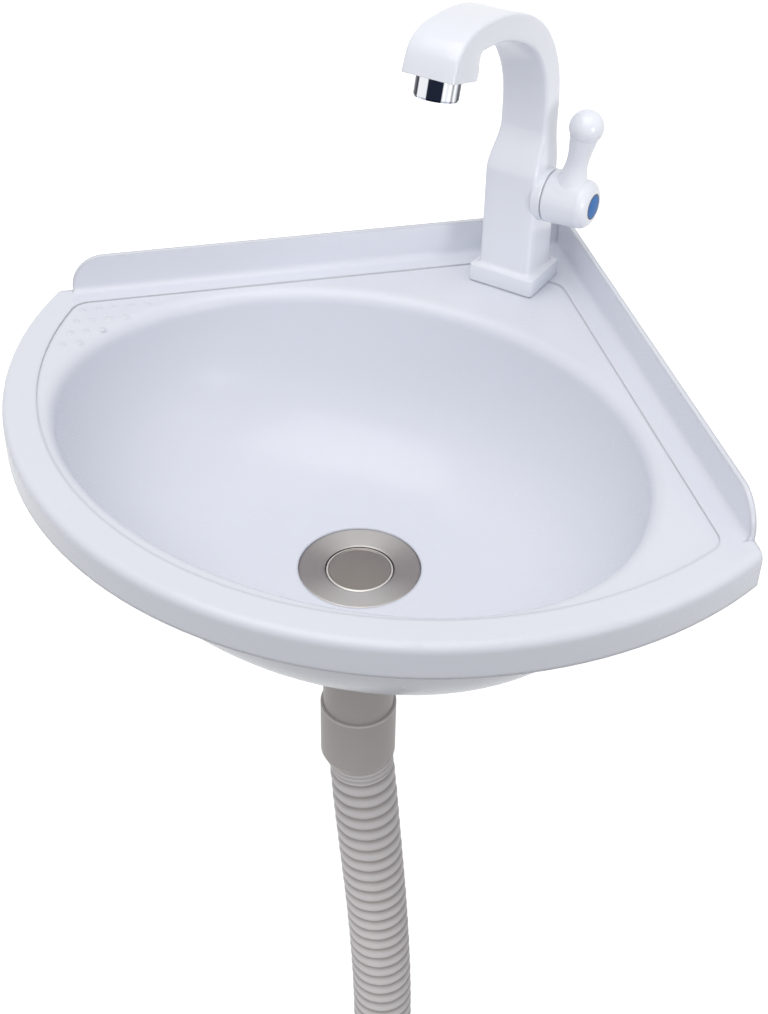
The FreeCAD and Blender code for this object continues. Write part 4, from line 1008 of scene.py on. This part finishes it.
def view_axes(studio):
    """Right, down and ahead of the view, with its roll."""
    level = math.cos(studio.elevation)
    ahead = Vector((
        math.sin(studio.azimuth) * level, math.cos(studio.azimuth) * level, -math.sin(studio.elevation)))
    right = Vector((math.cos(studio.azimuth), -math.sin(studio.azimuth), 0))
    down = ahead.cross(right)
    turned_right = right * math.cos(studio.roll) + down * math.sin(studio.roll)
    turned_down = down * math.cos(studio.roll) - right * math.sin(studio.roll)
    return turned_right, turned_down, ahead


def place_camera(studio):
    lens = bpy.data.cameras.new("camera")
    lens.sensor_width = 36.0
    lens.lens = studio.lens
    lens.clip_start, lens.clip_end = 0.02, 60.0
    right, down, ahead = view_axes(studio)
    camera = bpy.data.objects.new("camera", lens)
    axes = Matrix((right, -down, -ahead)).transposed()
    camera.matrix_world = Matrix.Translation(studio.place) @ axes.to_4x4()
    bpy.context.scene.collection.objects.link(camera)
    bpy.context.scene.camera = camera


class CORNERBASIN_OT_studio(bpy.types.Operator):
    """Camera, lamps, world and floor"""
    bl_idname = "corner_basin.studio"
    bl_label = "Studio"

    def execute(self, context):
        studio = context.scene.corner_basin_studio
        place_camera(studio)
        context.scene.view_settings.view_transform = "Standard"
        studio_world(studio.world)
        area_lamp("top_lamp", *TOP_LAMP, studio.top_power)
        area_lamp("side_lamp", *SIDE_LAMP, studio.side_power)
        tap_middle = (TAP_AXIS.x, TAP_AXIS.y, TAP_TOP / 2)
        spot_lamp("tap_lamp", TAP_LAMP, tap_middle, studio.tap_power)
        on_hose = (WASTE_AXIS.x, WASTE_AXIS.y, (HOSE_START_Z + FLOOR_Z) / 2 + HOSE_RISE)
        spot_lamp("hose_lamp", HOSE_LAMP, on_hose, studio.hose_power)
        bpy.ops.mesh.primitive_circle_add(
            vertices=96, radius=FLOOR_RADIUS, fill_type="NGON", location=(0, 0, FLOOR_Z))
        floor = context.object
        floor.name = "floor"
        floor.data.materials.append(floor_finish())
        return {"FINISHED"}


class CORNERBASIN_OT_hose(bpy.types.Operator):
    """Ribbed drain hose and its cuffs"""
    bl_idname = "corner_basin.hose"
    bl_label = "Drain hose"

    def execute(self, context):
        hose = context.scene.corner_basin_hose
        top = Vector((WASTE_AXIS.x, WASTE_AXIS.y, HOSE_START_Z))
        drift = Vector((math.cos(HOSE_LEAN), math.sin(HOSE_LEAN), 0))
        line = hose_line([top + drift * side - Vector((0, 0, drop)) for side, drop in HOSE_ROUTE])
        mesh, length = hose_mesh(hose, line)
        piece = linked("ribbed_hose", mesh, hose_finish(hose))
        cuffs = cuff_finish(hose)
        dress(cuffs, "hose_end_cuff", "waste_body")
        # the top cuff gets a painted highlight along its upper edge
        dress(lip_highlight_finish(hose, cuffs), "hose_cuff")
        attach(piece, BODY)
        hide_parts("drain_hose")
        return {"FINISHED"}


class CORNERBASIN_OT_shell(bpy.types.Operator):
    """Moulded basin"""
    bl_idname = "corner_basin.shell"
    bl_label = "Basin"

    def execute(self, context):
        basin = context.scene.corner_basin_shell
        moulding = moulded_finish(
            "basin_plastic", basin.colour, basin.second_colour, basin.roughness, spread=0.05, drift=7.0,
            grain=700.0, height=basin.grain, edge=basin.edge, dust=0.05)
        dress(moulding, "basin")
        return {"FINISHED"}


def tap_coat(tap):
    """Stoved white coat of the body and the handle."""
    return moulded_finish(
        "tap_white", tap.colour, tap.second_colour, tap.roughness, spread=0.04, drift=14.0, grain=420.0,
        height=3e-6, edge=tap.edge, dust=0.03, Coat_Weight=0.25, Coat_Roughness=0.14)


def tap_skin(shape):
    """Crisp skin of the tap's body, with its boss and its threaded shank."""
    body = plate_rings(shape) + flare_rings(shape) + shoulder_rings(shape) + neck_rings(shape)
    outside = body + outlet_rings(shape, body[-1])
    return skinned("tap_shell", (outside, boss_rings(shape), shank_rings(shape)))


def outlet_chrome(tap):
    """Chrome of the outlet, with its painted reflection banded about the mouth's own axis."""
    outlet = (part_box("aerator_shell")[0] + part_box("aerator_shell")[1]) / 2
    axis = FORWARD * math.cos(MOUTH_HEADING) + Vector((0, 0, math.sin(MOUTH_HEADING)))
    return chrome_finish(tap.chrome, tap.chrome_reflection_dark, outlet, axis)


def index_finish(tap):
    """Blue of the cold index, with its dark edge."""
    finish, tree, shader = new_finish("index_blue", Specular_IOR_Level=0.25)
    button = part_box("index_button")
    radius = (button[1].z - button[0].z) / 2
    around = axis_node(tree, (button[0] + button[1]) / 2, SIDEWAYS, (0, 0, 1))
    face = grain_node(
        tree, tap.index, shaded(tap.index, 1.5), drift=160.0, grain=900.0, roughness=0.3, spread=0.1,
        place=(-700, -200))
    edge = band(tree, around.outputs["Distance"], 0.84 * radius, 0.95 * radius)
    wire(mixed(tree, edge, face.outputs["Colour"], tap.index_rim), shader.inputs["Base Color"])
    bumped(tree, shader, face.outputs["Height"], 6e-6, edge=0.0003)
    return finish


class CORNERBASIN_OT_tap(bpy.types.Operator):
    """Tap body, handle, outlet and index"""
    bl_idname = "corner_basin.tap"
    bl_label = "Tap"

    def execute(self, context):
        tap = context.scene.corner_basin_tap
        coat = tap_coat(tap)
        dress(coat, "tap_handle")
        piece = linked("tap_shell", tap_skin(context.scene.corner_basin_tap_shape), coat)
        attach(piece, BODY)
        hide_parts("tap_body")
        dress(outlet_chrome(tap), "aerator_shell")
        dress(index_finish(tap), "index_button")
        return {"FINISHED"}


class CORNERBASIN_OT_fittings(bpy.types.Operator):
    """Nut, washers, valve parts and seals"""
    bl_idname = "corner_basin.fittings"
    bl_label = "Hidden fittings"

    def execute(self, context):
        rubber = context.scene.corner_basin_waste.rubber
        # name, two colours, roughness and its spread, drift, grain, height, edge, metal, pieces
        finishes = (
            ("brass", (0.62, 0.44, 0.17), (0.50, 0.34, 0.12), 0.26, 0.16, 70.0, 1500.0, 1.2e-5, 0.0003, 1,
             ("tap_backnut", "valve_cartridge", "valve_spindle")),
            ("stainless", (0.58, 0.57, 0.55), (0.50, 0.49, 0.47), 0.22, 0.14, 90.0, 1600.0, 8e-6, 0.0003, 1,
             ("handle_screw", "plug_spring")),
            ("rubber", rubber, shaded(rubber, 1.5), 0.62, 0.14, 80.0, 2200.0, 2.5e-5, 0.0003, 0,
             ("tap_gasket", "aerator_washer", "valve_seal", "spindle_o_ring", "flange_gasket",
              "body_gasket", "plug_seal", "cuff_seal")),
            ("disc_ceramic", (0.86, 0.84, 0.78), (0.82, 0.80, 0.74), 0.12, 0.08, 90.0, 1800.0, 4e-6, 0, 0,
             ("fixed_disc", "moving_disc")),
            ("white_plastic", (0.74, 0.74, 0.73), (0.70, 0.70, 0.69), 0.40, 0.12, 50.0, 1500.0, 1.5e-5,
             0.0004, 0, ("tap_washer", "aerator_screen", "plug_guide")))
        for *values, metal, names in finishes:
            dress(moulded_finish(*values, Metallic=metal), *names)
        return {"FINISHED"}


class CORNERBASIN_OT_waste(bpy.types.Operator):
    """Waste flange, plug and stem"""
    bl_idname = "corner_basin.waste"
    bl_label = "Waste"

    def execute(self, context):
        waste = context.scene.corner_basin_waste
        centre = (WASTE_AXIS.x, WASTE_AXIS.y, 0)
        # painted highlight wedges, with painted shade between them, on the flange and the stem
        steel = turned_finish(
            "turned_steel", waste.steel, waste.marks_and_shade_steel, waste.ring, centre, roughness=0.26,
            height=1.6e-5, painted_lobes=1.0)
        dress(steel, "waste_flange", "plug_stem")
        # painted highlight: a bright ring along the plug's edge
        radius = (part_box("plug_cap")[1].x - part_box("plug_cap")[0].x) / 2
        cap = turned_finish(
            "plug_face", waste.cap, shaded(waste.cap, 0.8), waste.ring, centre, roughness=0.30,
            height=1.2e-5, rim=(radius, waste.highlight_wide, waste.rim))
        dress(cap, "plug_cap")
        return {"FINISHED"}


STEPS = (
    CORNERBASIN_OT_studio, CORNERBASIN_OT_hose, CORNERBASIN_OT_shell, CORNERBASIN_OT_tap,
    CORNERBASIN_OT_fittings, CORNERBASIN_OT_waste)


class CORNERBASIN_PT_panel(bpy.types.Panel):
    """Lists the steps that make the basin's looks"""
    bl_idname = "CORNERBASIN_PT_panel"
    bl_label = "Corner Basin"
    bl_space_type = "VIEW_3D"
    bl_region_type = "UI"
    bl_category = "Corner Basin"

    def draw(self, context):
        for step in STEPS:
            self.layout.operator(step.bl_idname)
        for name, kind in SETTINGS.items():
            box = self.layout.box()
            box.label(text=kind.__doc__)
            for key in kind.__annotations__:
                box.prop(getattr(context.scene, name), key)


def register():
    for kind in (*SETTINGS.values(), *STEPS, CORNERBASIN_PT_panel):
        bpy.utils.register_class(kind)
    for name, kind in SETTINGS.items():
        setattr(bpy.types.Scene, name, PointerProperty(type=kind))


def unregister():
    for name in SETTINGS:
        delattr(bpy.types.Scene, name)
    for kind in reversed((*SETTINGS.values(), *STEPS, CORNERBASIN_PT_panel)):
        bpy.utils.unregister_class(kind)


def main():
    register()
    for step in STEPS:
        area, action = step.bl_idname.split(".")
        getattr(getattr(bpy.ops, area), action)()
    bpy.context.view_layer.update()


if __name__ == "__main__":
    main()
